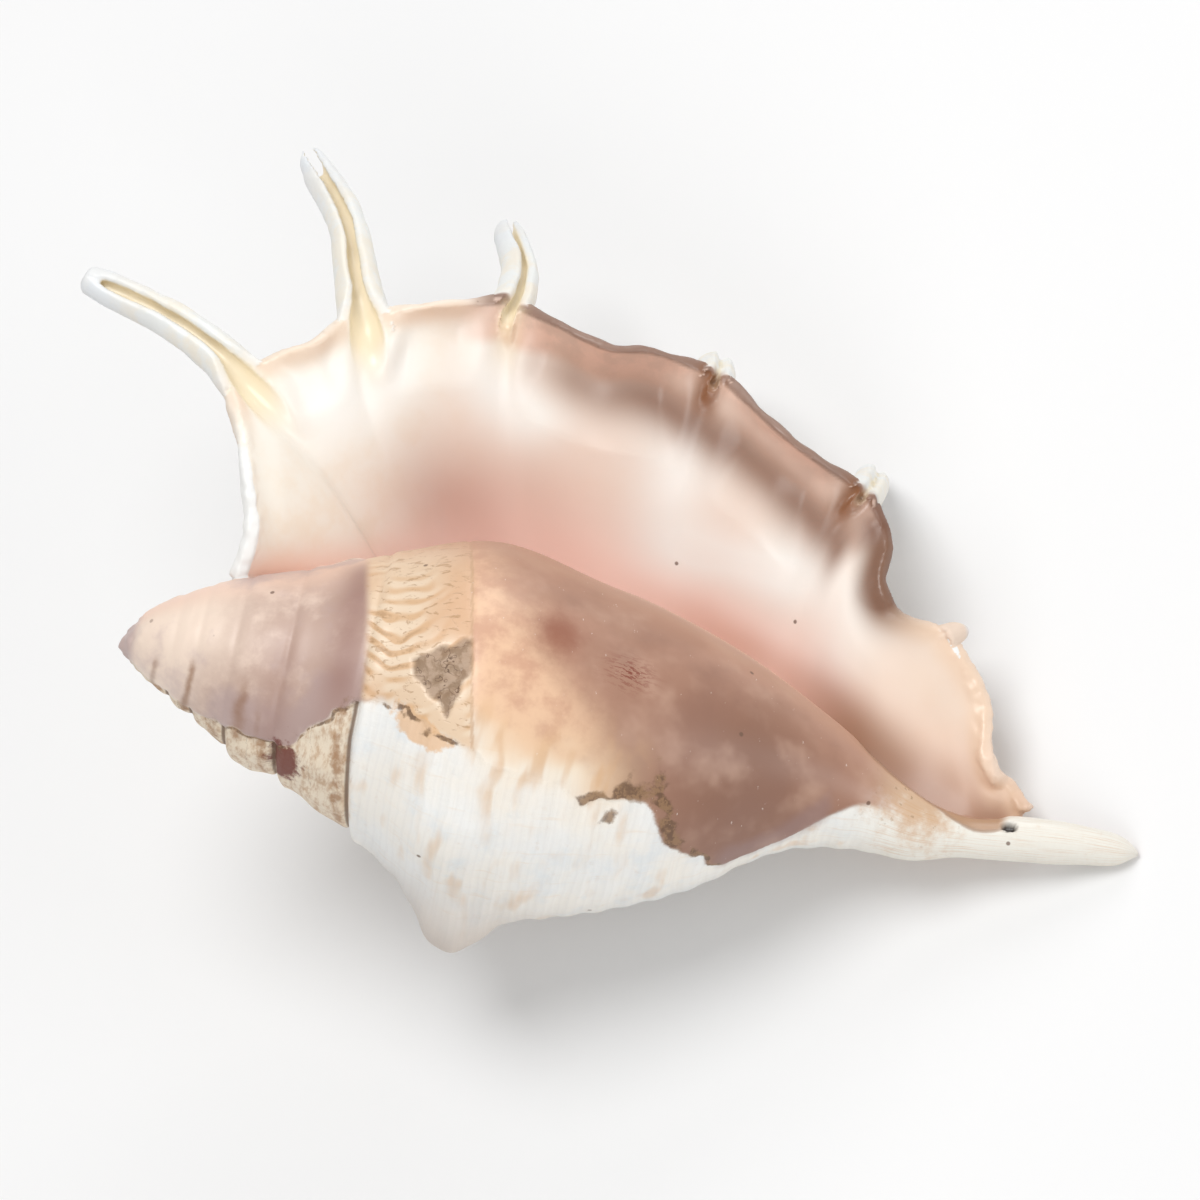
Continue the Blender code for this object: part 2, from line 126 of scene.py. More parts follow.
# ---- The lip's free edge -----------------------------------------------------------------------
# Each stretch lies between two digits: points x, y, z and the direction in which the lip leaves.
EDGES = [
    [(17.7, 10.9, 9.1, -.2, -.64, .75), (18.1, 16.7, 15, -.6, -.2, .8), (14.9, 24.3, 20, -.8, .1, .6),
     (12.1, 31.6, 23, -.85, .2, .4), (9, 36, 24, -.85, .3, .2)],
    [(12, 43.5, 25, -.6, .65, .4), (15.8, 44.4, 26, -.4, .7, .6), (20.9, 48, 26.5, -.35, .7, .6),
     (23.5, 54, 26, -.35, .8, .4)],
    [(31.5, 58.5, 27, -.1, .8, .5), (37.6, 58.3, 29, 0, .55, .85), (44, 60.5, 29, 0, .6, .8),
     (46, 62, 27, 0, .7, .6)],
    [(53.5, 62, 27, .1, .6, .8), (58.6, 58.9, 29.5, .1, .5, .85), (67.1, 55.9, 30, .1, .5, .85),
     (73.4, 57.6, 29.5, .05, .5, .85), (80.5, 58.5, 26, .05, .6, .75)],
    [(88, 56, 25.5, .2, .6, .75), (98.1, 47.2, 27, .3, .45, .85), (107, 44, 22, .35, .5, .8)],
    [(114.5, 42, 19, .6, .6, .5), (116.6, 37.7, 19, .85, .3, .4), (116.8, 30.9, 17, .85, .3, .4),
     (119.9, 27.1, 15, .7, .5, .4), (126, 25.4, 13.5, .55, .7, .3)],
    [(132, 26, 12.5, .8, .4, .3), (136.8, 17.6, 9, .9, 0, .4), (138.3, 8.6, 5, .8, 0, .6),
     (140.2, 6.2, 3, .5, .2, .8), (143.4, 7.0, 1.8, .4, .3, .8), (145.8, 3.9, .5, .4, -.3, .8)],
]
# Each digit: its centre line, its outer radius at root, middle and tip, the way its slit faces, half
# of the slit's angle, the stretch over which its channel closes to that slit (shares of its length),
# how hollow it is, how far its channel runs into the lip, how far it draws the lip's edge along, and
# whether the tip is split in two prongs or capped.
DIGITS = [
    {"path": [(10.5, 40.5, 22.5), (4, 45.5, 23), (-5, 50.3, 23), (-17.6, 55.3, 22)],
     "radii": (4.2, 3.3, 2.7), "facing": (.15, -.45, .9), "slit": 27, "closes": (-.08, .26),
     "hollow": .8, "reach": 15, "funnel": 8, "split": 0, "capped": 1},
    {"path": [(27.3, 56.5, 24), (24.6, 64, 25), (20.7, 76.1, 25), (13.3, 90.2, 21.5)],
     "radii": (4.5, 3.5, 2.8), "facing": (-.1, -.3, .95), "slit": 26, "closes": (-.12, .26),
     "hollow": .9, "reach": 12, "funnel": 8, "split": 1, "capped": 0},
    {"path": [(49.5, 63.5, 25), (50.2, 70, 23.5), (49.6, 79, 20), (46.5, 90.5, 14.5)],
     "radii": (3.9, 3.2, 2.7), "facing": (.25, -.3, .95), "slit": 25, "closes": (-.3, .1),
     "hollow": .55, "reach": 8, "funnel": 0, "split": .4, "capped": 0},
    {"path": [(84.3, 58.5, 23.5), (84.5, 63.5, 20.5), (84.3, 70.5, 14), (84, 77, 5)],
     "radii": (3.4, 3.3, 2.9), "facing": (.2, .1, .95), "slit": 22, "closes": (-.3, .1),
     "hollow": .42, "reach": 6, "funnel": 0, "split": .9, "capped": 0},
    {"path": [(111, 45, 18.5), (112, 49.5, 15.5), (112.8, 57, 9.5), (113, 64.5, 2)],
     "radii": (3.2, 3.1, 2.7), "facing": (.3, .1, .9), "slit": 22, "closes": (-.3, .1),
     "hollow": .42, "reach": 6, "funnel": 0, "split": .9, "capped": 0},
    {"path": [(128.6, 26, 12), (129.9, 27.5, 11.6), (131, 28.6, 11.2), (132, 29.5, 10.8)],
     "radii": (2.4, 1.9, 1.0), "facing": (-.2, -.4, .9), "slit": 4, "closes": (-.9, -.4),
     "hollow": .15, "reach": 2, "funnel": 0, "split": 0, "capped": 1},
]
# The rim between two digits rolls up out of a hollow: depth and width of the hollow, per stretch.
GUTTERS = [(.4, 9), (1.0, 11), (2.2, 14), (3.0, 18), (3.0, 18), (.3, 9), (.2, 8)]

# ---- Where the surface changes, on the core: distance along the axis, then angle -----------------
GLAZE_EDGE = [
    (0, 112), (3, 106), (9, 100), (15, 98), (18, 87), (24, 80), (30, 76), (33, 61), (36, 54), (40, 42),
    (45, 40), (51, 44), (57, 49), (63, 53), (70, 56), (80, 58), (87, 59), (91, 72), (95, 82), (100, 95),
    (106, 97), (111, 84), (116, 60), (121, 42), (127, 38), (135, 30), (146, 20), (LENGTH, 10),
]
# The cream band across the callus: angle, then distance along the axis of its two sides.
BAND_START = [(-60, 36), (-21, 37), (12, 39), (32, 40), (60, 41)]
BAND_END = [(-60, 51), (-23, 52.5), (12, 55), (32, 57), (60, 60)]

# Brown streaks across the spire: distance along the axis, half width, first angle, strength.
SPIRE_STREAKS = [
    (6.8, .55, 34, .8), (12.6, .7, 28, 1), (21.6, 1.3, 34, .9), (24.4, .7, 44, .5), (31, .8, 50, .3),
]
# Brown stains on the callus's edge: distance along the axis, how far inside the edge, half sizes.
STAINS = [
    (78.5, .4, 2.6, .8), (83.8, 1.5, 3.6, 2.4), (90.2, 4.0, 2.8, 3.8), (94.5, .8, 3, 1.6),
    (99.5, .2, 3.2, .6), (82.0, -4.2, 1.6, 1.4),
]
# Paler places on the lip, which also stand in for painted highlights: distance along the axis, height to
# the side, half widths.
PALE_AND_HIGHLIGHT_PATCHES = [
    (49, 55, 6, 7), (57, 49, 6, 5), (82, 44, 7, 9), (88, 33, 10, 5), (118, 25, 10, 8), (24, 44, 8, 8),
    (33, 52, 6, 7), (103, 33, 9, 6),
]
# Digits whose channels are darkened brown, a brown tone with painted shade in the groove, and how far
# along the lip's edge the darkening lies off them.
BROWN_CHANNELS = {3: -.004, 4: -.006}
# The lower edge of the gully beside the canal: distance along the axis, then height to the side.
GULLY = [(110, 13), (117, 9.0), (123, 5.6), (132.7, 1.2), (139.4, -1.1), (144.5, .2)]

SIN_TILT, COS_TILT = math.sin(math.radians(TILT)), math.cos(math.radians(TILT))


# ---- Curves ------------------------------------------------------------------------------------
def ramp(start, end, value):
    """0 before start, 1 after end, smooth in between; falling when start is the larger."""
    u = np.clip((np.asarray(value, float) - start) / (end - start), 0, 1)
    return u * u * (3 - 2 * u)


def window(value, start, full, fading, end):
    """A smooth stretch: 0 before start, 1 from full to fading, 0 after end."""
    return ramp(start, full, value) * ramp(end, fading, value)


def hump(value, centre, half):
    """A smooth bump, 1 at the centre."""
    return np.exp(-(((value - centre) / half) ** 2))


def unit(vectors):
    return vectors / np.maximum(np.linalg.norm(vectors, axis=-1, keepdims=True), 1e-12)


def curve(points, at):
    """A smooth curve through the points, whose first number is the place along it."""
    table = np.asarray(points, float)
    place, value = table[:, 0], table[:, 1:]
    slope = np.diff(value, axis=0) / np.diff(place)[:, None]
    slope = np.vstack([slope[:1], (slope[1:] + slope[:-1]) / 2, slope[-1:]])
    at = np.clip(np.asarray(at, float), place[0], place[-1])
    k = np.clip(np.searchsorted(place, at, "right") - 1, 0, len(place) - 2)
    step = (place[k + 1] - place[k])[..., None]
    t = (at - place[k])[..., None] / step
    found = (
        (2 * t**3 - 3 * t**2 + 1) * value[k]
        + (t**3 - 2 * t**2 + t) * step * slope[k]
        + (3 * t**2 - 2 * t**3) * value[k + 1]
        + (t**3 - t**2) * step * slope[k + 1]
    )
    return found[..., 0] if value.shape[1] == 1 else found


def along(points, count):
    """count places evenly spaced along a smooth line through the points."""
    table = np.asarray(points, float)
    gaps = np.linalg.norm(np.diff(table[:, :3], axis=0), axis=1)
    place = np.concatenate([[0], np.cumsum(gaps)])
    return curve(np.column_stack([place, table]), np.linspace(0, place[-1], count))


def noise(points, size, seed):
    """Smooth noise from -1 to 1 at each point, with features about size wide."""
    scaled = np.asarray(points, float) / size + seed * 7.31
    cell = np.floor(scaled).astype(np.int64)
    part = scaled - cell
    part = part * part * (3 - 2 * part)
    total = np.zeros(len(scaled))
    for corner in itertools.product((0, 1), repeat=3):
        at = cell + corner
        mixed = (at[:, 0] * 73856093) ^ (at[:, 1] * 19349663) ^ (at[:, 2] * 83492791)
        mixed = (mixed * 2654435761) & 0xFFFFFFFF
        mixed = ((mixed ^ (mixed >> 15)) * 2246822519) & 0xFFFFFFFF
        value = (mixed ^ (mixed >> 13)) / 2**31 - 1
        total += value * np.prod(np.where(corner, part, 1 - part), axis=1)
    return total


# ---- Body whorl and spire ----------------------------------------------------------------------
def on_ring(x, angle, radius):
    """The point at an angle and radius round the coiling axis."""
    x, angle, radius = np.broadcast_arrays(x, np.radians(angle), radius)
    sway = curve(SWAY, x)
    return np.stack(
        [x, sway * SIN_TILT - radius * np.sin(angle), sway * COS_TILT + radius * np.cos(angle)], -1
    )


def ring_place(points):
    """Angle and radius round the coiling axis of each point, the angle from -90 to 270."""
    sway = curve(SWAY, points[:, 0])
    y, z = points[:, 1] - sway * SIN_TILT, points[:, 2] - sway * COS_TILT
    angle = np.degrees(np.arctan2(-y, z))
    return np.where(angle < -90, angle + 360, angle), np.hypot(y, z)


def plain_radius(x, angle):
    ridge = .5 + .5 * np.cos(np.radians(angle - RIDGE_ANGLE))
    return curve(FREE_SIDE, x) * (1 - ridge) + curve(RIDGE_SIDE, x) * ridge


def outer_radius(x, angle):
    """Radius of the outside, with the last whorl's growth and its knobs."""
    growth = WHORL_GROWTH ** (np.clip(angle - FRONT_ANGLE, 0, 200) / 360) - 1
    last_whorl = window(x, 38, 50, 105, 125)
    radius = plain_radius(x, angle) * (1 + growth * last_whorl)
    for knob_x, knob_angle, height, half_length, half_width in KNOBS:
        away = ((x - knob_x) / half_length) ** 2 + ((angle - knob_angle) / half_width) ** 2
        radius = radius + height * np.exp(-away**1.3)
    return radius


def core_radius(x, angle):
    """Radius of the solid core, which leaves the outside to make room for the aperture."""
    deep = plain_radius(x, angle) * (CAVITY_DEPTH + (1 - CAVITY_DEPTH) * ramp(225, 270, angle))
    past_suture = ramp(1, 10, x - curve(SUTURE, angle))
    hollow = ramp(LIP_START + 2, LIP_START + 40, angle) * past_suture * ramp(122, 106, x)
    return outer_radius(x, angle) * (1 - hollow) + deep * hollow


def core_surface(rings, spokes):
    """Vertices and faces of the core, closed at the apex and the canal tip."""
    x = np.linspace(0, LENGTH, rings)[:, None]
    angle = np.linspace(-90, 270, spokes, endpoint=False)[None]
    points = on_ring(x, angle, core_radius(x, angle)).reshape(-1, 3)
    ids = np.arange(rings * spokes).reshape(rings, spokes)
    turned = np.roll(ids, -1, axis=1)
    sides = np.stack([ids[:-1], turned[:-1], turned[1:], ids[1:]], -1).reshape(-1, 4)
    return points, [*sides.tolist(), ids[0][::-1].tolist(), ids[-1].tolist()]


# ---- Digits ------------------------------------------------------------------------------------
def digit_length(digit):
    return np.linalg.norm(np.diff(np.asarray(digit["path"], float), axis=0), axis=1).sum()


def digit_section(digit, place, side, outside):
    """Points of a digit's C-shaped wall. place is 0 at its root and 1 at its tip, and negative in
    the lip; side runs from -1 to 1 round the C; outside is 1 outside and 0 in the channel."""
    path = np.asarray(digit["path"], float)
    share = np.linspace(0, 1, len(path))
    key = np.column_stack([share, path])
    prongs = digit["split"] * .13 * ramp(.76, 1, place) * (np.abs(side) - .55)
    place = place + prongs
    middle = curve(key, place)
    near = np.clip(place, .02, .98)
    heading = unit(curve(key, near + .02) - curve(key, near - .02))
    beyond = np.minimum(place, 0) + np.maximum(place - 1, 0)
    middle = middle + beyond[:, None] * digit_length(digit) * heading
    facing = np.asarray(digit["facing"], float)
    facing = unit(facing - (heading @ facing)[:, None] * heading)
    across = np.cross(heading, facing)
    root, centre, tip = digit["radii"]
    radius = curve([(-.4, root * 1.5), (0, root), (.45, centre), (1, tip)], place)
    closing = ramp(*digit["closes"], place)
    cap = digit["capped"] * ramp(.90, .99, place)
    filled = (1 - digit["hollow"]) * ramp(-.4, 0, place)
    channel = radius * (.62 - .18 * closing) * (1 - .85 * cap) * (1 - filled)
    middle = middle + (radius * SHALLOW * closing * (1 - outside))[:, None] * facing
    radius = radius * (1 - .12 * ramp(.93, 1, place))
    radius = channel + (radius - channel) * outside
    reach = 70 + 35 * ramp(-.4, 0, place) + (75 - digit["slit"]) * closing
    reach = reach + SLIT_WAVE * np.sin(place * 19 + root * 5) * ramp(.1, .3, place)
    reach = reach + (digit["slit"] - 4) * cap
    turn = np.radians(side * reach)
    return middle + radius[:, None] * (np.sin(turn)[:, None] * across - np.cos(turn)[:, None] * facing)


# ---- Outer lip ---------------------------------------------------------------------------------
def edge_stretches():
    """EDGES with each end at a digit moved onto the side of that digit's root."""
    stretches = [[list(point) for point in stretch] for stretch in EDGES]
    for k, digit in enumerate(DIGITS):
        before, after = digit_section(digit, np.zeros(2), np.array([-1., 1.]), np.full(2, .3))
        stretches[k][-1][:3] = before
        stretches[k + 1][0][:3] = after
    return stretches


def lip_columns(per_mm, digit_columns):
    """Free edge points, the lip's direction there, each column's digit (or -1), its side, and the
    depth and width of the hollow behind the rim."""
    stretches = edge_stretches()
    parts, digit_of, side, gutter = [], [], [], []
    for k, stretch in enumerate(stretches):
        length = np.linalg.norm(np.diff(np.asarray(stretch)[:, :3], axis=0), axis=1).sum()
        count = max(4, int(length * per_mm))
        parts.append(along(stretch, count)[(k > 0):(None if k == len(DIGITS) else -1)])
        digit_of += [-1] * len(parts[-1])
        side += [0.] * len(parts[-1])
        gutter += [GUTTERS[k]] * len(parts[-1])
        if k < len(DIGITS):
            mix = np.linspace(0, 1, digit_columns)[:, None]
            parts.append(np.asarray(stretch[-1]) * (1 - mix) + np.asarray(stretches[k + 1][0]) * mix)
            digit_of += [k] * digit_columns
            side += list(np.linspace(-1, 1, digit_columns))
            gutter += (np.array(GUTTERS[k]) * (1 - mix) + np.array(GUTTERS[k + 1]) * mix).tolist()
    table = np.vstack(parts)
    return table[:, :3], unit(table[:, 3:]), np.array(digit_of), np.array(side), np.array(gutter)


def smoothed(values, passes):
    """values evened out along their first axis, with both ends kept."""
    values = values.copy()
    for _ in range(passes):
        values[1:-1] = (values[:-2] + 2 * values[1:-1] + values[2:]) / 4
    return values


def first_x(share):
    """Where on the core each share along the lip's edge starts."""
    return LIP_FIRST + LIP_LENGTH * share**SPREAD


def lip_grids(per_mm, rows, digit_columns):
    """Inner and outer grids of the lip, one column for each place along its free edge, and rows
    from its root, buried in the core, to that edge, with each grid point's surface fields."""
    edge, leaving, digit_of, side, gutters = lip_columns(per_mm, digit_columns)
    share = np.concatenate([[0], np.cumsum(np.linalg.norm(np.diff(edge, axis=0), axis=1))])
    edge_length = share[-1]
    share = share / edge_length
    start_x = first_x(share)
    start = on_ring(start_x, LIP_START, outer_radius(start_x, LIP_START) - WALL)
    growing = np.array([0, -math.cos(math.radians(LIP_START)), -math.sin(math.radians(LIP_START))])
    even = np.linspace(0, 1, len(share))
    flare = np.column_stack([np.interp(even, share, row) for row in np.hstack([edge, leaving]).T])
    flare = smoothed(flare, EVENING)
    flare = np.column_stack([np.interp(share, even, row) for row in flare.T])
    even_edge, leaving = flare[:, :3], unit(flare[:, 3:])
    span = np.linalg.norm(even_edge - start, axis=1)[:, None]
    t = (np.linspace(0, 1, rows) ** ROW_SPACING)[None, :, None]
    first = (start + growing * span * ROOT_PULL)[:, None]
    second = (even_edge - leaving * span * EDGE_PULL)[:, None]
    inner = (
        start[:, None] * (1 - t) ** 3
        + first * 3 * t * (1 - t) ** 2
        + second * 3 * t**2 * (1 - t)
        + even_edge[:, None] * t**3
        + (edge - even_edge)[:, None] * t**EDGE_SHARPNESS
    )
    buried = [
        on_ring(start_x, LIP_START - back, outer_radius(start_x, LIP_START - back) - WALL - sink)
        for back, sink in BURIED
    ]
    inner = np.concatenate([np.stack(buried, 1), inner], 1)
    out = np.concatenate([np.zeros(len(BURIED)), t.ravel()])[None]

    facing = unit(np.cross(np.gradient(inner, axis=0), np.gradient(inner, axis=1)))
    facing = unit(smoothed(facing, 16))
    from_edge = np.linalg.norm(inner[:, -1:] - inner, axis=2)
    near_digit = np.min(
        [np.linalg.norm(edge - np.asarray(d["path"][0]), axis=1) for d in DIGITS], axis=0
    )
    valley = ramp(3.5, 9, near_digit)[:, None]
    shape = np.sin(np.pi * np.clip(from_edge / gutters[:, 1:], 0, 1) ** .7) ** 1.5
    hollow = gutters[:, :1] * valley * shape * ramp(.02, .08, share)[:, None]
    inner = inner - facing * hollow[..., None]

    knob_u, knob_t, height, half_u, half_t = WALL_KNOB
    knob = height * hump(share[:, None], knob_u, half_u) * hump(out, knob_t, half_t)
    thickness = WALL + RIM_EXTRA * ramp(.8, 1, out) + knob
    outer = inner - facing * thickness[..., None]

    # Each digit's tube runs on into the lip as a funnel, and its sides draw the lip along.
    digit_share = np.zeros(inner.shape[:2])
    for k, digit in enumerate(DIGITS):
        columns = np.flatnonzero(digit_of == k)
        first, last = columns[0], columns[-1]
        before = inner.copy()
        for i in columns:
            digit_share[i] = ramp(digit["reach"], 0, from_edge[i])
            blend = digit_share[i][:, None]
            place = -np.minimum(from_edge[i] / digit_length(digit), .9)
            around = np.full(len(place), side[i])
            inner[i] += (digit_section(digit, place, around, 0 * around) - inner[i]) * blend
            outer[i] += (digit_section(digit, place, around, 0 * around + 1) - outer[i]) * blend
        if not digit["funnel"]:
            continue
        for side_column, others in ((first, range(first)), (last, range(last + 1, len(share)))):
            moved = inner[side_column] - before[side_column]
            for i in others:
                along_edge = abs(share[i] - share[side_column]) * edge_length
                falloff = ramp(digit["funnel"], 0, along_edge) * ramp(0, 4, from_edge[i])
                inner[i] += moved * falloff[:, None]
                outer[i] += moved * falloff[:, None]
    flat = np.zeros(inner.shape[:2])
    fields = [share[:, None] + flat, out + flat, from_edge, flat, digit_share, flat]
    return inner, outer, digit_of, side, np.stack(fields, -1)


FIELDS = ("share", "out", "from_edge", "outside", "digit", "place")
OUTSIDE, DIGIT, PLACE = (FIELDS.index(name) for name in ("outside", "digit", "place"))


class Solid:
    """Vertices, their surface fields and the quads of a closed wall with two skins."""

    def __init__(self):
        self.points, self.fields, self.faces, self.count = [], [], [], 0

    def add(self, grid, fields):
        ids = self.count + np.arange(grid.shape[0] * grid.shape[1]).reshape(grid.shape[:2])
        self.points.append(grid.reshape(-1, 3))
        self.fields.append(fields.reshape(-1, len(FIELDS)))
        self.count += ids.size
        return ids

    def skin(self, ids, flip):
        quads = np.stack([ids[:-1, :-1], ids[1:, :-1], ids[1:, 1:], ids[:-1, 1:]], -1).reshape(-1, 4)
        self.faces += (quads[:, ::-1] if flip else quads).tolist()

    def rim(self, loop):
        """Closes the wall along a loop of (inner, outer, next inner point inside the skin, bulge)."""
        points, fields = np.vstack(self.points), np.vstack(self.fields)
        rows = [np.array(ids) for ids in zip(*loop, strict=True)]
        inside, outside, behind = (points[ids] for ids in rows[:3])
        bulge = rows[3][:, None]
        gap = np.linalg.norm(inside - outside, axis=1, keepdims=True)
        middle = self.add(
            ((inside + outside) / 2 + unit(inside - behind) * gap * bulge)[:, None],
            ((fields[rows[0]] + fields[rows[1]]) / 2)[:, None],
        )
        for k in range(len(loop)):
            n = (k + 1) % len(loop)
            self.faces.append([loop[k][0], middle[k, 0], middle[n, 0], loop[n][0]])
            self.faces.append([middle[k, 0], loop[k][1], loop[n][1], middle[n, 0]])


def lip_surface(per_mm, rows, digit_columns, digit_rows):
    """Vertices, faces and surface fields of the lip with its digits, one closed wall."""
    inner, outer, digit_of, side, fields = lip_grids(per_mm, rows, digit_columns)
    solid = Solid()
    inside = solid.add(inner, fields)
    fields = fields.copy()
    fields[..., OUTSIDE] = 1
    outside = solid.add(outer, fields)
    solid.skin(inside, False)
    solid.skin(outside, True)
    last, row_count = inside.shape[0] - 1, inside.shape[1]

    digits = {}
    for k, digit in enumerate(DIGITS):
        columns = np.flatnonzero(digit_of == k)
        steps = max(6, int(digit_rows * digit_length(digit) / digit_length(DIGITS[1])))
        place = np.linspace(0, 1, steps + 1)[1:]
        skins = []
        for skin, share in ((inside, 0.), (outside, 1.)):
            grid = np.stack([
                digit_section(digit, place, np.full(steps, side[i]), np.full(steps, share))
                for i in columns
            ])
            notes = np.repeat(fields[columns, -1:], steps, axis=1)
            notes[..., OUTSIDE], notes[..., DIGIT], notes[..., PLACE] = share, 1, place
            ids = np.concatenate([skin[columns, -1:], solid.add(grid, notes)], 1)
            solid.skin(ids, share == 1)
            skins.append(ids)
        digits[k] = skins

    loop = [(inside[i, 0], outside[i, 0], inside[i, 1], RIM_BULGE) for i in range(last + 1)]
    loop += [
        (inside[last, j], outside[last, j], inside[last - 1, j], RIM_BULGE)
        for j in range(1, row_count - 1)
    ]
    column = last
    while column >= 0:
        k = digit_of[column]
        if k < 0:
            loop.append((inside[column, -1], outside[column, -1], inside[column, -2], RIM_BULGE))
            column -= 1
            continue
        ids, wall = digits[k]
        tip = ids.shape[1] - 1
        loop += [(ids[-1, j], wall[-1, j], ids[-2, j], SLIT_BULGE) for j in range(tip)]
        loop += [
            (ids[c, tip], wall[c, tip], ids[c, tip - 1], RIM_BULGE) for c in reversed(range(len(ids)))
        ]
        loop += [(ids[0, j], wall[0, j], ids[1, j], SLIT_BULGE) for j in reversed(range(tip))]
        column -= len(ids)
    loop += [
        (inside[0, j], outside[0, j], inside[1, j], RIM_BULGE) for j in range(row_count - 2, 0, -1)
    ]
    solid.rim(loop)
    return np.vstack(solid.points), solid.faces, np.vstack(solid.fields)


# ---- One skin ----------------------------------------------------------------------------------
def add_object(name, points, faces):
    mesh = bpy.data.meshes.new(name)
    mesh.from_pydata((np.asarray(points) * MM).tolist(), [], faces)
    mesh.update()
    shape = bpy.data.objects.new(name, mesh)
    bpy.context.scene.collection.objects.link(shape)
    return shape


def joined_skin(core, lip):
    """The core and the lip as one closed surface: the remeshed mesh, in metres."""
    points = np.vstack([core[0], lip[0]])
    faces = core[1] + [[i + len(core[0]) for i in face] for face in lip[1]]
    rough = add_object("rough", points, faces)
    remesh = rough.modifiers.new("remesh", "REMESH")
    remesh.mode = "VOXEL"
    remesh.voxel_size = VOXEL * MM
    smooth = rough.modifiers.new("smooth", "SMOOTH")
    smooth.factor = .5
    smooth.iterations = 1
    bpy.context.view_layer.update()
    evaluated = rough.evaluated_get(bpy.context.evaluated_depsgraph_get())
    skin = bpy.data.meshes.new_from_object(evaluated)
    old = rough.data
    bpy.data.objects.remove(rough)
    bpy.data.meshes.remove(old)
    return skin


def lip_fields(points, lip):
    """For each point: its distance from the lip's surface, and that surface's fields there."""
    lip_points, faces, fields = lip
    quads = np.array(faces)
    corners = np.vstack([quads[:, [0, 1, 2]], quads[:, [0, 2, 3]]])
    tree = BVHTree.FromPolygons(lip_points.tolist(), corners.tolist(), all_triangles=True)
    found = [tree.find_nearest(point) for point in points.tolist()]
    spot = np.array([f[0] for f in found])
    away = np.array([f[3] for f in found])
    a, b, c = (lip_points[corners[[f[2] for f in found], k]] for k in range(3))
    ab, ac, ap = b - a, c - a, spot - a
    d00, d01, d11 = (ab * ab).sum(1), (ab * ac).sum(1), (ac * ac).sum(1)
    d20, d21 = (ap * ab).sum(1), (ap * ac).sum(1)
    scale = np.maximum(d00 * d11 - d01 * d01, 1e-12)
    v, w = (d11 * d20 - d01 * d21) / scale, (d00 * d21 - d01 * d20) / scale
    weights = np.clip(np.stack([1 - v - w, v, w], 1), 0, 1)
    weights /= weights.sum(1, keepdims=True)
    which = corners[[f[2] for f in found]]
    return away, (fields[which] * weights[..., None]).sum(1)


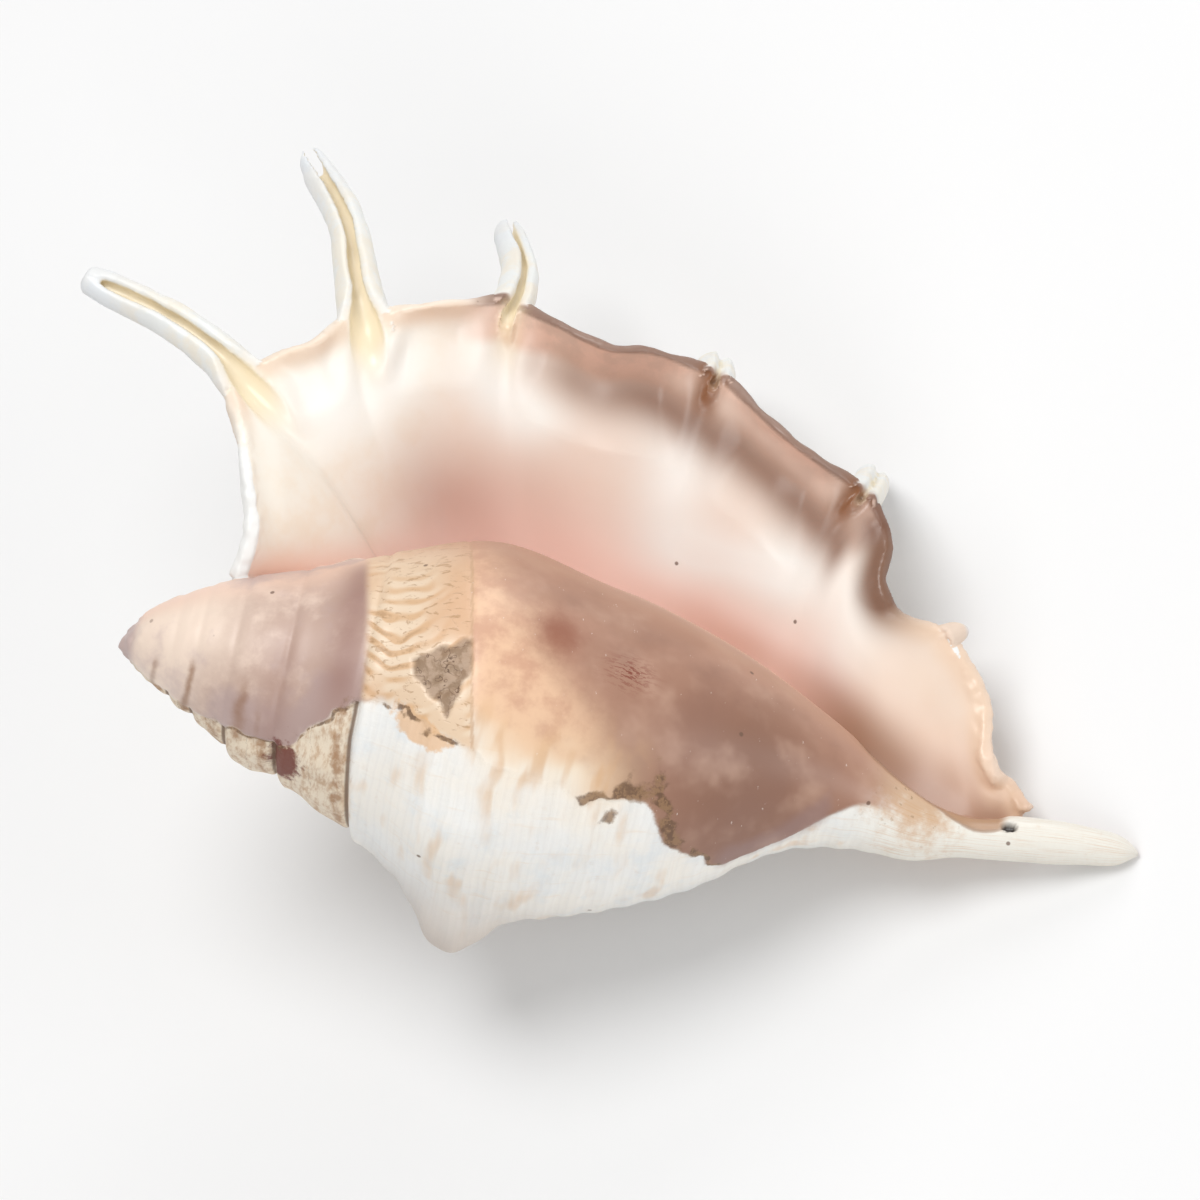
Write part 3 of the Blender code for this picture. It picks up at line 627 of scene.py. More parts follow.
# ---- Surface fields and relief -----------------------------------------------------------------
class Surface:
    """The skin's points in the shell's frame, in millimetres, with the fields that relief and
    colour are made from."""

    def __init__(self, skin, lip):
        count = len(skin.vertices)
        flat = np.empty(count * 3)
        skin.vertices.foreach_get("co", flat)
        self.points = flat.reshape(-1, 3) / MM
        skin.vertex_normals.foreach_get("vector", flat)
        self.normals = flat.reshape(-1, 3).copy()
        self.x = self.points[:, 0]
        self.angle, self.radius = ring_place(self.points)
        to_core = np.abs(self.radius - core_radius(self.x, self.angle))
        to_lip, fields = lip_fields(self.points, lip)
        self.lip = ramp(-.6, .6, to_core - to_lip)
        self.share, self.out, self.from_edge, self.outside, self.digit, self.place = fields.T
        self.height = self.points[:, 1] * SIN_TILT + self.points[:, 2] * COS_TILT
        x, angle, radius, lip_here = self.x, self.angle, self.radius, self.lip
        core = 1 - lip_here

        # One winding coordinate for the core and the outside of the lip, so bands run across.
        self.wound_x = x * core + first_x(np.clip(self.share, 0, 1)) * lip_here
        self.wound_angle = angle * core + (LIP_START + LIP_TURN * self.out) * lip_here

        # Millimetres inside the callus's broken edge, in front and, on the spire, behind.
        edge = curve(GLAZE_EDGE, x)
        to_edge = (edge - angle) * np.radians(radius)
        broken = 1.5 * self.noise(5, 2) + .8 * self.noise(2, 1) + .3 * self.noise(.9, 11)
        to_edge = to_edge + broken * (1 - .85 * ramp(97, 103, x)) * ramp(4, 12, x)
        behind = (angle + 56) * np.radians(radius) + broken + 20 * ramp(34, 42, x)
        to_edge = np.minimum(to_edge, behind)
        self.in_glaze = np.where(lip_here > .5, -20, np.clip(to_edge, -20, 20))

        # The porcelain is the mouth, the lip's inner side and the callus; the rest is chalk.
        mouth = ramp(192, 200, angle) * core * ramp(2, 9, x - curve(SUTURE, angle))
        below_ridge = ramp(-50, -62, angle) * window(x, 14, 22, 128, 142)
        self.mouth = np.maximum(mouth, below_ridge * core)
        self.inside = np.maximum(lip_here * (1 - self.outside), self.mouth)
        self.porcelain = np.maximum(self.inside, ramp(-.4, .4, self.in_glaze) * core)
        self.chalk = 1 - self.porcelain

        # The cream band with its slanted wrinkles, and the worn patch with its corners.
        starting = ramp(-.8, .8, x - curve(BAND_START, angle))
        ending = ramp(.5, -.5, x - curve(BAND_END, angle))
        self.band = starting * ending * core * ramp(-1, 1, self.in_glaze)
        arc = np.radians(angle) * CALLUS_RADIUS
        bend = .03 * (x - 40) ** 2 + 3.5 * self.noise(9, 13) + self.noise(3, 20)
        self.wrinkle = (arc + bend) / 3.1
        uneven = ramp(-.5, .5, self.noise(3.4, 21)) * ramp(70, 44, x - .35 * angle + 12)
        self.wrinkled = self.band * ramp(-45, -10, angle) * uneven
        from_x, from_arc = x - PATCH_X, arc - PATCH_ARC
        sides = [from_x * down + from_arc * round_it for down, round_it in PATCH_SIDES]
        outermost = np.max(sides, axis=0) + .6 * self.noise(1.6, 14)
        self.patch = core * ramp(4.2, 3.6, outermost) * (angle < 60) * ending

        # Past the ridge's end the gully runs on beside the canal, down to a small hole.
        line = self.height - curve(GULLY, x)
        self.gully = core * ramp(-.4, .5, line) * window(x, 117, 121, 142.5, 144.5)
        self.gully_edge = core * hump(line, 0, .5) * window(x, 117, 124, 142, 146)
        away = ((x - HOLE_X) / 1.25) ** 2 + ((self.height - HOLE_HEIGHT) / .75) ** 2
        self.hole = ramp(1.3, .5, away) * (angle < 100)

    def noise(self, size, seed):
        return noise(self.points, size, seed)

    def lines(self):
        """Signed distance along the axis from the nearest suture, and where the last one lies."""
        last = curve(SUTURE, np.clip(self.angle, 60, 310))
        nearest = np.full(len(self.x), 99.)
        for turn in range(5):
            gap = self.x - last / WHORL_GROWTH**turn
            nearest = np.where(np.abs(gap) < np.abs(nearest), gap, nearest)
        return nearest, last


def digit_shares():
    """Each digit's share along the lip's edge."""
    edge, _, digit_of, _, _ = lip_columns(1, 17)
    share = np.concatenate([[0], np.cumsum(np.linalg.norm(np.diff(edge, axis=0), axis=1))])
    share /= share[-1]
    return [float(share[digit_of == k].mean()) for k in range(len(DIGITS))]


def relief(s):
    """Height to add along the normal at each point, in millimetres."""
    x, glaze, from_edge = s.x, s.in_glaze, s.from_edge
    core = 1 - s.lip
    height = np.zeros(len(x))

    # Sutures and swelling whorls on the spire, where the callus leaves it open.
    gap, last = s.lines()
    open_spire = core * ramp(last + 5, last + 1, x) * ramp(298, 285, s.angle)
    bare = .25 + .75 * ramp(1, -1, glaze)
    size = np.clip(x / 30, .25, 1.2)
    height += open_spire * bare * size * (-.8 * hump(gap, 0, .5) + .5 * hump(gap, 1.6, 1.1))
    whorl = np.mod(np.log(np.maximum(x, 1) / last) / math.log(WHORL_GROWTH), 1)
    ribs = np.cos(np.radians(s.angle) * 13 + 9 * np.log(np.maximum(x, 1)))
    height += open_spire * bare * size * (.55 * np.sin(np.pi * whorl) + .3 * ribs * hump(whorl, .62, .2))

    # The callus is a thin coat with a broken edge, thickened along the ridge.
    coat = ramp(-.35, .35, glaze) * window(x, 8, 14, 116, 128)
    height += core * coat * .28 * (1 - .8 * window(x, 56, 62, 74, 80))

    # Ridges on the back that run out to the digits, with finer cords between them.
    back = s.chalk * ramp(52, 60, s.wound_x) * (1 - s.digit)
    rising = ramp(120, 230, s.wound_angle)
    for share in digit_shares():
        centre = first_x(share)
        height += back * rising * hump(s.wound_x, centre, 1.5 + .012 * centre) * .9
    cords = np.cos(2 * np.pi * (s.wound_x + s.noise(14, 3)) / 4.4)
    cords = cords * window(s.wound_x, 44, 50, 118, 130)
    height += s.chalk * cords * .13 * (1 - s.digit)

    # On the cream band: low slanted wrinkles, a step at its end, and the worn patch beside it.
    height += .055 * s.wrinkled * np.sin(2 * np.pi * s.wrinkle)
    height -= s.patch * (.38 + .22 * s.noise(1.1, 4))
    end = x - curve(BAND_END, s.angle)
    height -= core * .16 * hump(end, 0, .4) * (glaze > 0) * (x < 70)
    height += core * ramp(5, 2, x) * s.noise(1.1, 25) * .3

    # The lip: channels inside that lead to the digits.
    for share, digit in zip(digit_shares(), DIGITS, strict=True):
        width = .008 + .012 * ramp(0, 24, from_edge)
        channel = hump(s.share, share, width) * ramp(1.6 * digit["reach"], 2, from_edge)
        height -= s.inside * s.lip * channel * (1 - s.digit) * .7 * digit["hollow"]

    # Its chipped, uneven edge: grains at both ends, shallow chips along the middle.
    edge = s.lip * ramp(2.8, .8, from_edge) * (1 - s.digit)
    ends = ramp(.13, .09, s.share) + ramp(.81, .86, s.share)
    height += edge * (s.noise(2.6, 5) * .12 + s.noise(1.1, 6) * .14 * (.3 + ends))
    height += edge * ramp(.86, .9, s.share) * s.noise(3.6, 12) * .25
    height += s.lip * s.digit * ramp(.02, .1, s.place) * s.noise(2.6, 7) * .13

    # The open gully beside the canal, and the small hole where the canal begins.
    height -= s.gully * .35
    height -= s.hole * 1.2

    # Nothing that grows is quite smooth.
    height += s.chalk * (s.noise(6, 8) * .12 + s.noise(2.6, 9) * .05)
    height += s.porcelain * s.noise(16, 10) * .10
    return height


def lay_down(points):
    """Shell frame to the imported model's frame, in metres, with the feet worn flat at z = 0."""
    turn = Euler((math.radians(REST_ROLL), math.radians(REST_PITCH), 0), "XYZ").to_matrix()
    placed = points * MM @ np.array(turn).T
    low, high = placed.min(0), placed.max(0)
    cad_low, cad_high = (np.array(corner) for corner in CAD_BOX)
    shift = (cad_low + cad_high) / 2 - (low + high) / 2
    shift[2] = cad_low[2] - low[2] - FOOT_WEAR * MM
    placed = placed + shift
    placed[:, 2] = np.maximum(placed[:, 2], cad_low[2])
    matrix = turn.to_4x4()
    matrix.translation = Vector(shift)
    return placed, matrix


def write_field(skin, name, values):
    values = np.asarray(values, np.float32)
    kind, key = ("FLOAT", "value") if values.ndim == 1 else ("FLOAT_VECTOR", "vector")
    skin.attributes.new(name, kind, "POINT").data.foreach_set(key, values.ravel())


def core_fields(s):
    """Fields of the spire, the body and its callus."""
    x, angle, glaze = s.x, s.angle, s.in_glaze
    core = 1 - s.lip
    gap, last = s.lines()
    open_spire = core * (x < last + 2.5)
    callus = core * ramp(-.5, .5, glaze) * ramp(128, 119, x)
    before_band = ramp(2, 1, x - curve(BAND_START, angle))
    spire = callus * before_band
    inward = glaze + 4 * s.noise(9, 18) + 1.5 * s.noise(2.5, 22)
    thinning = ramp(9, -1, inward) * ramp(82, 74, x)
    body = callus * ramp(-2, -1, x - curve(BAND_END, angle)) * (1 - thinning)
    shade = ramp(8, 29, x + 5 * s.noise(12, 15) + .09 * (angle - 20))
    dark = hump(x, 36.4, 3.6) * ramp(-48, -20, angle) * (1 - .5 * ramp(30, 55, angle))
    dark += .55 * hump(x, 27, 3) * ramp(0, 40, angle)
    streaks = sum(
        hump(x + .5 * s.noise(3, 16), at, half) * ramp(low, low + 22, angle) * strength
        for at, half, low, strength in SPIRE_STREAKS
    )
    taupe = ramp(58, 84, x + .30 * (22 - angle) + 5 * s.noise(13, 17))
    warm = hump(inward, 2, 8) * window(x, 54, 60, 76, 90)
    thin = window(x, 40, 46, 55, 60) + .8 * ramp(40, 36, x) * ramp(14, 20, x)
    stain = thin * hump(glaze, -.4, .5) + sum(
        hump(x, at, half) * hump(glaze, inward_by, across)
        for at, inward_by, half, across in STAINS
    )
    stain *= ramp(-.8, .1, s.noise(1.7, 23))
    stain += .6 * hump(x, 39, 2.2) * hump(glaze, 1, 3) * (angle > 40)
    scratches = hump(x, 80.5, 3.4) * hump(angle, 11, 6)
    mauve = window(x, 97, 102, 114, 118) * hump(glaze, 1.5, 3.5)
    return {
        "suture_gap": np.where((open_spire > .5) & (glaze < .3), gap, 9),
        "open_spire": open_spire * ramp(.5, -.5, glaze) * ramp(.4, -.6, x - last),
        "near_suture": open_spire * (hump(gap, -1.8, 1.5) + .5 * hump(gap, .9, .5)),
        "band": s.band,
        # Follows the wrinkles' relief: low in their troughs, which the material paints darker, partly as
        # painted shade.
        "wrinkle": .5 + .5 * s.wrinkled * np.sin(2 * np.pi * s.wrinkle),
        "spire_callus": spire,
        "spire_shade": shade,
        "spire_lilac": spire * ramp(12, 3, glaze) * ramp(12, 20, x),
        "spire_dark": spire * dark,
        "spire_streaks": core * before_band * np.clip(streaks, 0, 1) * ramp(-3, -1, glaze),
        "spire_top": spire * ramp(0, -35, angle),
        "body_callus": body,
        "taupe": taupe,
        "deep_taupe": body * hump(x, 101, 21) * ramp(-30, 28, angle),
        # Painted shade: the lower side of the body, turned from the light, is painted greyer.
        "underside_shade": core * window(angle, 95, 135, 160, 190) * ramp(42, 50, x),
        "warm": core * warm,
        "seam": callus * hump(x - curve(BAND_END, angle), 0, .35) * ramp(-60, -30, angle),
        "band_right": s.band * ramp(44, 56, x) * ramp(30, 0, angle),
        "mauve": core * mauve,
        "ridge_callus": callus * ramp(-10, -40, angle) * ramp(34, 60, x),
        # A salmon line along the columellar ridge, lighter as a painted highlight on its crest.
        "ridge_line": callus * hump(angle, -47, 5) * ramp(66, 90, x),
        "soft_spot": body * hump(x, 68.5, 4.4) * hump(angle, 4, 11),
        "scratches": body * scratches,
        "patch": s.patch,
        "trail": core * hump(x - 51 - .10 * (angle - 50), 0, 6) * hump(glaze, -1, 2.2),
        "red_spot": core * hump(x, 29.8, 3.4) * hump(angle, 89, 19),
        "stain": core * stain,
        "canal": core * ramp(112, 130, x),
        "canal_tan": core * hump(s.height - curve(GULLY, x), -1, 6.5) * window(x, 106, 120, 128, 142),
        "gully": s.gully,
        "gully_edge": s.gully_edge,
        # Painted shade: the small hole is only a shallow dent, painted near black as if dark inside.
        "hole": s.hole,
        "apex": core * ramp(3.4, 1.6, x),
        "mottled": s.chalk * ramp(140, 185, s.wound_angle) * (1 - s.digit),
        # The shoulder knob's beige tone, darkened further as painted shade on the lower side.
        "knobs": core * np.exp(-((x - 60.5) / 11) ** 2 - ((angle - 132) / 22) ** 2),
    }


def lip_colour_fields(s):
    """Fields of the lip and its digits."""
    x, share_here, from_edge = s.x, s.share, s.from_edge
    inside = s.inside
    above = s.height - curve(RIDGE_SIDE, x)
    plain = s.lip * (1 - s.digit)
    off_digits = s.lip * ramp(.06, 0, s.place)
    rose = np.exp(-(((x - 46) / 12) ** 2 + ((s.height - 34) / 10) ** 2) ** .8)
    pale = sum(
        np.exp(-((x - at) / across) ** 2 - ((s.height - high) / tall) ** 2)
        for at, high, across, tall in PALE_AND_HIGHLIGHT_PATCHES
    )
    rolled = window(share_here, .34, .38, .725, .755)
    strong = .8 * rolled + .2 * ramp(.46, .52, share_here) * rolled
    wander = .5 * s.noise(9, 19)
    channel, brown = np.zeros(len(x)), np.zeros(len(x))
    for k, share in enumerate(digit_shares()):
        line = hump(share_here, share, .009 + .008 * ramp(0, 14, from_edge)) * inside * s.lip
        if k in BROWN_CHANNELS:
            near = hump(share_here, share + BROWN_CHANNELS[k], .012) * inside * s.lip
            near *= ramp(9, 4, from_edge) * ramp(.22, .04, s.place)
            brown = np.maximum(brown, near)
        elif k < 3:
            channel = np.maximum(channel, line * ramp(15, 2, from_edge))
    ends = ramp(.12, .09, share_here) + ramp(.82, .86, share_here)
    return {
        "lip_in": inside,
        "blush": inside * ramp(17, -2, above + 3 * wander) * ramp(34, 50, x),
        "salmon": inside * ramp(7, -1, above) * (1 - .75 * ramp(38, 56, x)),
        # Paler shell on the lip, also painted highlights where the glossy lip would reflect the lights.
        "pale": inside * s.lip * np.clip(pale, 0, 1),
        "shadow_side": inside * ramp(7, 1, above + 2 * wander) * hump(x, 101, 20),
        "rose": inside * s.lip * rose,
        "lip_middle": inside * s.lip * ramp(30, 56, x + wander) * ramp(124, 108, x),
        "mouth": s.mouth + inside * s.lip * ramp(.45, .15, s.out),
        # The rolled rim between the third and fifth digits: a pinkish-tan tone, darkened partly as
        # painted shade where the rim turns from the light.
        "rim": off_digits * ramp(7.8, 4.8, from_edge + wander) * rolled,
        # A paler band on the rim between the fourth and fifth digits, partly a painted highlight along
        # the rim's crest.
        "rim_pale": off_digits * hump(from_edge + wander, 4, 2.8) * ramp(.50, .56, share_here) * rolled,
        "rim_shade": inside * off_digits * hump(from_edge + .3 * wander, 8.4, 4.6) * strong
        * ramp(.385, .45, share_here),
        "rim_line": off_digits * ramp(.8, .1, from_edge - .4 * s.outside) * rolled,
        "first_rims": inside * plain * ramp(5, 1, from_edge) * (1 - rolled) * ramp(.1, .14, share_here),
        # Painted shade: dark brown on the rounded bulge past the fifth digit, near the edge, where it
        # turns from the light.
        "bulge": s.lip * np.clip(1.7 * hump(x, 116.8, 6.5) * hump(s.height, 37, 9.5), 0, 1)
        * ramp(8.5, 1.5, from_edge + .5 * wander),
        "channel": channel,
        "brown_groove_shade": brown,
        "digit": s.lip * ramp(.6, 1, s.digit) * ramp(.02, .16, s.place) * (share_here < .8),
        "slit": s.lip * s.digit * ramp(.4, .1, s.outside) * ramp(.6, 1, s.digit) * (share_here < .8),
        "tip": s.lip * ramp(.6, 1, s.place),
        "flap": s.lip * ramp(.77, .84, share_here),
        "flap_channel": inside * ramp(11, .5, s.height - curve(GULLY, x) + wander) * ramp(102, 119, x),
        "worn_edge": plain * ramp(1.2, .1, from_edge) * np.clip(ends, 0, 1)
        * np.maximum(ramp(.12, .09, share_here), ramp(.0, .4, s.noise(4, 24)))
        * (1 - .7 * ramp(.88, .92, share_here)),
    }


def colour_fields(skin, s):
    """Writes the fields that the material turns into colour. Two are places and suture_gap is a
    distance, in millimetres; the others are masks, 0 to about 1."""
    write_field(skin, "grown", s.points)
    turning = np.radians(s.wound_angle) * BACK_RADIUS
    write_field(skin, "wound", np.stack([s.wound_x, turning, 0 * turning], 1))
    write_field(skin, "chalk", s.chalk)
    for name, values in {**core_fields(s), **lip_colour_fields(s)}.items():
        write_field(skin, name, values)


def make_shell():
    fine = 1
    core = core_surface(rings=int(520 * fine), spokes=int(420 * fine))
    lip = lip_surface(per_mm=1.5 * fine, rows=int(70 * fine), digit_columns=25, digit_rows=48)
    skin = joined_skin(core[:2], lip[:2])
    surface = Surface(skin, lip)
    surface.points += surface.normals * relief(surface)[:, None]
    placed, matrix = lay_down(surface.points)
    skin.vertices.foreach_set("co", placed.ravel())
    colour_fields(skin, surface)
    skin.name = "shell_skin"
    skin.update()
    skin.shade_smooth()
    shell = bpy.data.objects.new("conch", skin)
    bpy.context.scene.collection.objects.link(shell)
    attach(shell, "root")
    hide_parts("shell")
    return shell, matrix


# ---- Material ----------------------------------------------------------------------------------
class Nodes:
    """Short names for the nodes that the shell's material is built from."""

    def __init__(self, material):
        self.tree = material.node_tree

    def feed(self, socket, value):
        if isinstance(value, bpy.types.NodeSocket):
            self.tree.links.new(value, socket)
        elif isinstance(value, tuple) and socket.type == "RGBA":
            socket.default_value = (*value, 1)
        else:
            socket.default_value = value

    def field(self, name, output="Fac"):
        node = self.tree.nodes.new("ShaderNodeAttribute")
        node.attribute_name = name
        return node.outputs[output]

    def math(self, operation, *values):
        node = self.tree.nodes.new("ShaderNodeMath")
        node.operation = operation
        for socket, value in zip(node.inputs, values):
            self.feed(socket, value)
        return node.outputs[0]

    def noise(self, vector, scale, detail=3., roughness=.55, distortion=0.):
        node = self.tree.nodes.new("ShaderNodeTexNoise")
        self.feed(node.inputs["Vector"], vector)
        node.inputs["Scale"].default_value = scale
        node.inputs["Detail"].default_value = detail
        node.inputs["Roughness"].default_value = roughness
        node.inputs["Distortion"].default_value = distortion
        return node.outputs["Fac"]

    def streaks(self, vector, factors, *shape):
        """Noise stretched along the axes with the smaller factors."""
        node = self.tree.nodes.new("ShaderNodeVectorMath")
        node.operation = "MULTIPLY"
        self.feed(node.inputs[0], vector)
        node.inputs[1].default_value = factors
        return self.noise(node.outputs[0], 1., *shape)

    def step(self, value, low, high):
        """0 below low, 1 above high, smooth between; the other way round when low is the larger."""
        node = self.tree.nodes.new("ShaderNodeMapRange")
        node.interpolation_type = "SMOOTHSTEP"
        self.feed(node.inputs["Value"], value)
        swap = low > high
        node.inputs["From Min"].default_value = min(low, high)
        node.inputs["From Max"].default_value = max(low, high)
        node.inputs["To Min"].default_value = 1. if swap else 0.
        node.inputs["To Max"].default_value = 0. if swap else 1.
        return node.outputs["Result"]

    def mix(self, below, above, amount):
        node = self.tree.nodes.new("ShaderNodeMix")
        node.data_type = "RGBA"
        self.feed(node.inputs[0], amount)
        self.feed(node.inputs[6], below)
        self.feed(node.inputs[7], above)
        return node.outputs[2]


def shell_material():
    material = bpy.data.materials.new("conch_shell")
    material.use_nodes = True
    n = Nodes(material)
    shader = material.node_tree.nodes["Principled BSDF"]
    grown, wound = n.field("grown", "Vector"), n.field("wound", "Vector")
    chalk = n.field("chalk")

    soft = n.noise(grown, .06, 4)
    blotch = n.noise(grown, .16, 5, .6)
    grain = n.noise(grown, 1.6, 5, .65)
    ragged = n.math("SUBTRACT", n.noise(grown, .45, 6, .65), .5)
    growth = n.streaks(wound, (.09, .9, 1), 5, .6)
    spiral = n.streaks(wound, (1.1, .03, 1), 4, .6)
    checks = n.streaks(wound, (.28, .10, 1), 2, .4)
    split = n.tree.nodes.new("ShaderNodeSeparateXYZ")
    n.feed(split.inputs[0], wound)
    wander = n.math("MULTIPLY_ADD", soft, 3., split.outputs[0])
    threads = n.math("SINE", n.math("MULTIPLY", wander, 5.2))

    def patchy(name, low, high, amount=.5):
        """A field whose edge wanders with the ragged noise."""
        return n.step(n.math("MULTIPLY_ADD", ragged, amount, n.field(name)), low, high)

    def both(mask, other):
        """Where two masks meet, or one mask at a lesser strength; a mask may be a field's name."""
        return n.math("MULTIPLY", n.field(mask) if isinstance(mask, str) else mask, other)

    # The chalky outside.
    colour = n.mix((.87, .87, .85), (.90, .86, .79), n.step(soft, .4, .65))

    def lay(over, mask, amount=1.):
        """Lays a colour over all that came before it, where the mask is."""
        nonlocal colour
        if isinstance(mask, str):
            mask = n.field(mask)
        colour = n.mix(colour, over, both(mask, amount) if amount < 1 else mask)

    lay((.74, .79, .82), n.step(blotch, .48, .72), .55)
    lay((.80, .62, .44), n.step(growth, .55, .8), .45)
    lay((.74, .50, .30), both(n.step(checks, .54, .70), n.step(soft, .42, .6)), .48)
    lay((.70, .60, .52), n.step(spiral, .55, .8), .22)
    lay((.62, .60, .60), n.step(threads, .1, 1.), .09)
    lay((.50, .29, .15), both("mottled", n.step(blotch, .50, .60)), .7)
    lay((.62, .38, .20), both("mottled", n.step(growth, .52, .66)), .4)
    # Painted shade on the lower side of the body.
    lay((.64, .63, .61), "underside_shade", .55)
    # Beige tone on the shoulder knob, partly painted shade on the lower side.
    lay((.54, .44, .37), "knobs", .75)
    lay((.82, .67, .48), "open_spire", .75)
    spire_stripes = n.step(n.streaks(wound, (.9, .22, 1), 5, .7), .42, .66)
    lay((.48, .27, .13), both("open_spire", spire_stripes), .7)
    lay((.36, .18, .08), patchy("near_suture", .55, 1.3, 2.6), .8)
    lay((.83, .80, .72), "canal", .9)
    lay((.66, .42, .25), both("canal", n.step(growth, .50, .70)), .55)
    lay((.60, .36, .19), patchy("canal_tan", .1, 1.0, 1.6), .8)
    freckles = n.step(n.noise(grown, .8, 2, .5), .64, .70)
    lay((.36, .22, .12), both("canal_tan", freckles), .7)
    lay((.84, .72, .58), "flap", .5)

    # The callus, in its bands from the spire to the canal.
    spire = n.mix((.86, .70, .58), (.54, .38, .31), patchy("spire_shade", .05, 1.05, .35))
    spire = n.mix(spire, (.90, .72, .60), both(n.step(blotch, .46, .72), .5))
    spire = n.mix(spire, (.55, .42, .40), both(n.step(n.noise(grown, .13, 4, .6), .5, .72), .5))
    lay(spire, "spire_callus")
    lay((.86, .58, .45), "spire_top", .7)
    lay((.46, .34, .33), patchy("spire_lilac", .2, .9, .6), .65)
    lay((.34, .19, .155), "spire_dark", .85)
    lay((.30, .15, .08), patchy("spire_streaks", .1, 1.2, .8), .75)
    brown = n.mix((.48, .265, .185), (.41, .22, .15), n.step(soft, .4, .6))
    peach = n.mix((.84, .55, .36), (.66, .38, .25), n.step(blotch, .40, .66))
    lay(n.mix(peach, brown, patchy("taupe", .1, .95, .25)), "body_callus")
    lay((.225, .105, .065), "deep_taupe", .85)
    clouds = both("body_callus", n.field("taupe"))
    lay((.60, .39, .29), both(clouds, n.step(n.noise(grown, .11, 3, .5), .46, .74)), .5)
    lay((.26, .13, .09), both(clouds, n.step(n.noise(grown, .09, 4, .5), .48, .74)), .5)
    lay((.88, .68, .44), "warm", .45)
    lay((.66, .38, .18), both("warm", n.step(checks, .50, .64)), .55)
    # The band is darker in the wrinkles' troughs: brown lines and painted shade in the creases.
    band = n.mix((.82, .65, .48), (.70, .46, .27), n.step(n.field("wrinkle"), .62, .30))
    band = n.mix(band, (.70, .43, .25), both(n.step(soft, .42, .6), .5))
    band = n.mix(band, (.68, .39, .22), both("band_right", .7))
    lay(band, "band")
    dashes = n.step(n.streaks(grown, (.28, 1.1, 1.1), 4, .6, .8), .56, .66)
    lay((.42, .24, .11), both("band", dashes), .6)
    lay((.55, .34, .19), patchy("seam", .3, .9, .9), .6)
    # Dark brown in the deepest troughs of the wrinkles, partly painted shade in the creases.
    fold_lines_and_shade = both(both("band", n.step(n.field("wrinkle"), .34, .18)), n.step(ragged, -.08, .08))
    lay((.45, .27, .14), fold_lines_and_shade, .6)
    lay((.52, .285, .19), "ridge_callus", .8)
    # Salmon ridge line, partly a painted highlight on the ridge's crest.
    lay((.78, .48, .35), "ridge_line", .6)
    lay((.29, .10, .055), patchy("soft_spot", .1, 1.1, .5), .85)
    lay((.30, .20, .20), patchy("mauve", .2, .9, .5), .4)
    lay((.78, .46, .22), patchy("trail", .42, .7, 1.1), .75)
    worn = n.mix((.44, .31, .22), (.28, .18, .11), n.step(n.noise(grown, .55, 4, .6), .42, .6))
    cracks = n.step(n.math("ABSOLUTE", n.math("SUBTRACT", n.noise(grown, .4, 2, .5), .5)), .014, .0)
    worn = n.mix(worn, (.10, .05, .025), cracks)
    lay(worn, "patch", .92)
    lay((.17, .035, .022), patchy("red_spot", .40, .7, 1.5), .95)
    crust = n.mix((.28, .16, .075), (.13, .065, .03), n.step(n.noise(grown, .7, 5, .7), .44, .58))
    lay(crust, patchy("stain", .35, .75, 1.3), .85)
    scratch = n.step(n.streaks(grown, (.5, 2.2, 1.2), 4, .7), .50, .55)
    lay((.20, .03, .015), both("scratches", scratch), .85)
    flecks = n.step(n.streaks(grown, (2.2, .8, .8), 3, .6), .71, .74)
    lay((.92, .84, .78), both("body_callus", flecks), .55)
    lay((.16, .09, .05), n.step(n.math("ABSOLUTE", n.field("suture_gap")), .5, .12), .85)
    lay((.46, .28, .17), "gully")
    lay((.32, .17, .09), patchy("gully_edge", .3, .9, .6), .6)
    # Painted shade: near black inside the shallow dent that stands for the hole.
    lay((.02, .01, .006), "hole")
    lay((.50, .38, .36), "apex", .9)

    # The lip's porcelain.
    ivory = n.mix((.94, .89, .79), (.92, .83, .70), n.step(blotch, .4, .7))
    lay(ivory, "lip_in")
    lay((.88, .71, .61), "lip_middle", .8)
    lay((1.0, .68, .60), "blush", .75)
    lay((1.0, .74, .64), "salmon", .85)
    lay((.58, .34, .27), "rose", .62)
    lay((.62, .32, .22), "shadow_side", .6)
    lay((.80, .50, .41), "mouth", .35)
    # Paler shell and painted highlights on the lip's inside.
    lay((.98, .97, .92), "pale", .9)
    lay((.82, .61, .47), "flap", .7)
    lay((.38, .19, .11), "flap_channel", .9)
    lay((.84, .60, .42), "first_rims", .6)
    # Pinkish-tan rim band, partly painted shade where the rolled rim turns from the light.
    lay(n.mix((.80, .52, .40), (.66, .44, .34), n.step(blotch, .42, .62)), "rim", .85)
    # Paler rim band, partly a painted highlight on the rim's crest.
    lay((.94, .74, .62), "rim_pale", .75)
    lay((.23, .105, .06), "rim_shade", .85)
    lay((.22, .125, .09), "rim_line", .85)
    # Painted shade on the bulge past the fifth digit.
    lay((.15, .05, .018), "bulge", .9)
    lay((.82, .66, .42), "channel", .7)
    lay(n.mix((.82, .83, .81), (.85, .80, .70), n.step(blotch, .4, .6)), "digit")
    lay((.78, .81, .85), "tip", .7)
    lay((.90, .80, .60), "slit", .9)
    # Painted shade in the grooves at the fourth and fifth digits' roots, in a brown tone.
    lay((.24, .09, .03), "brown_groove_shade", .95)
    lay((.88, .88, .86), patchy("worn_edge", .5, .8, .7))

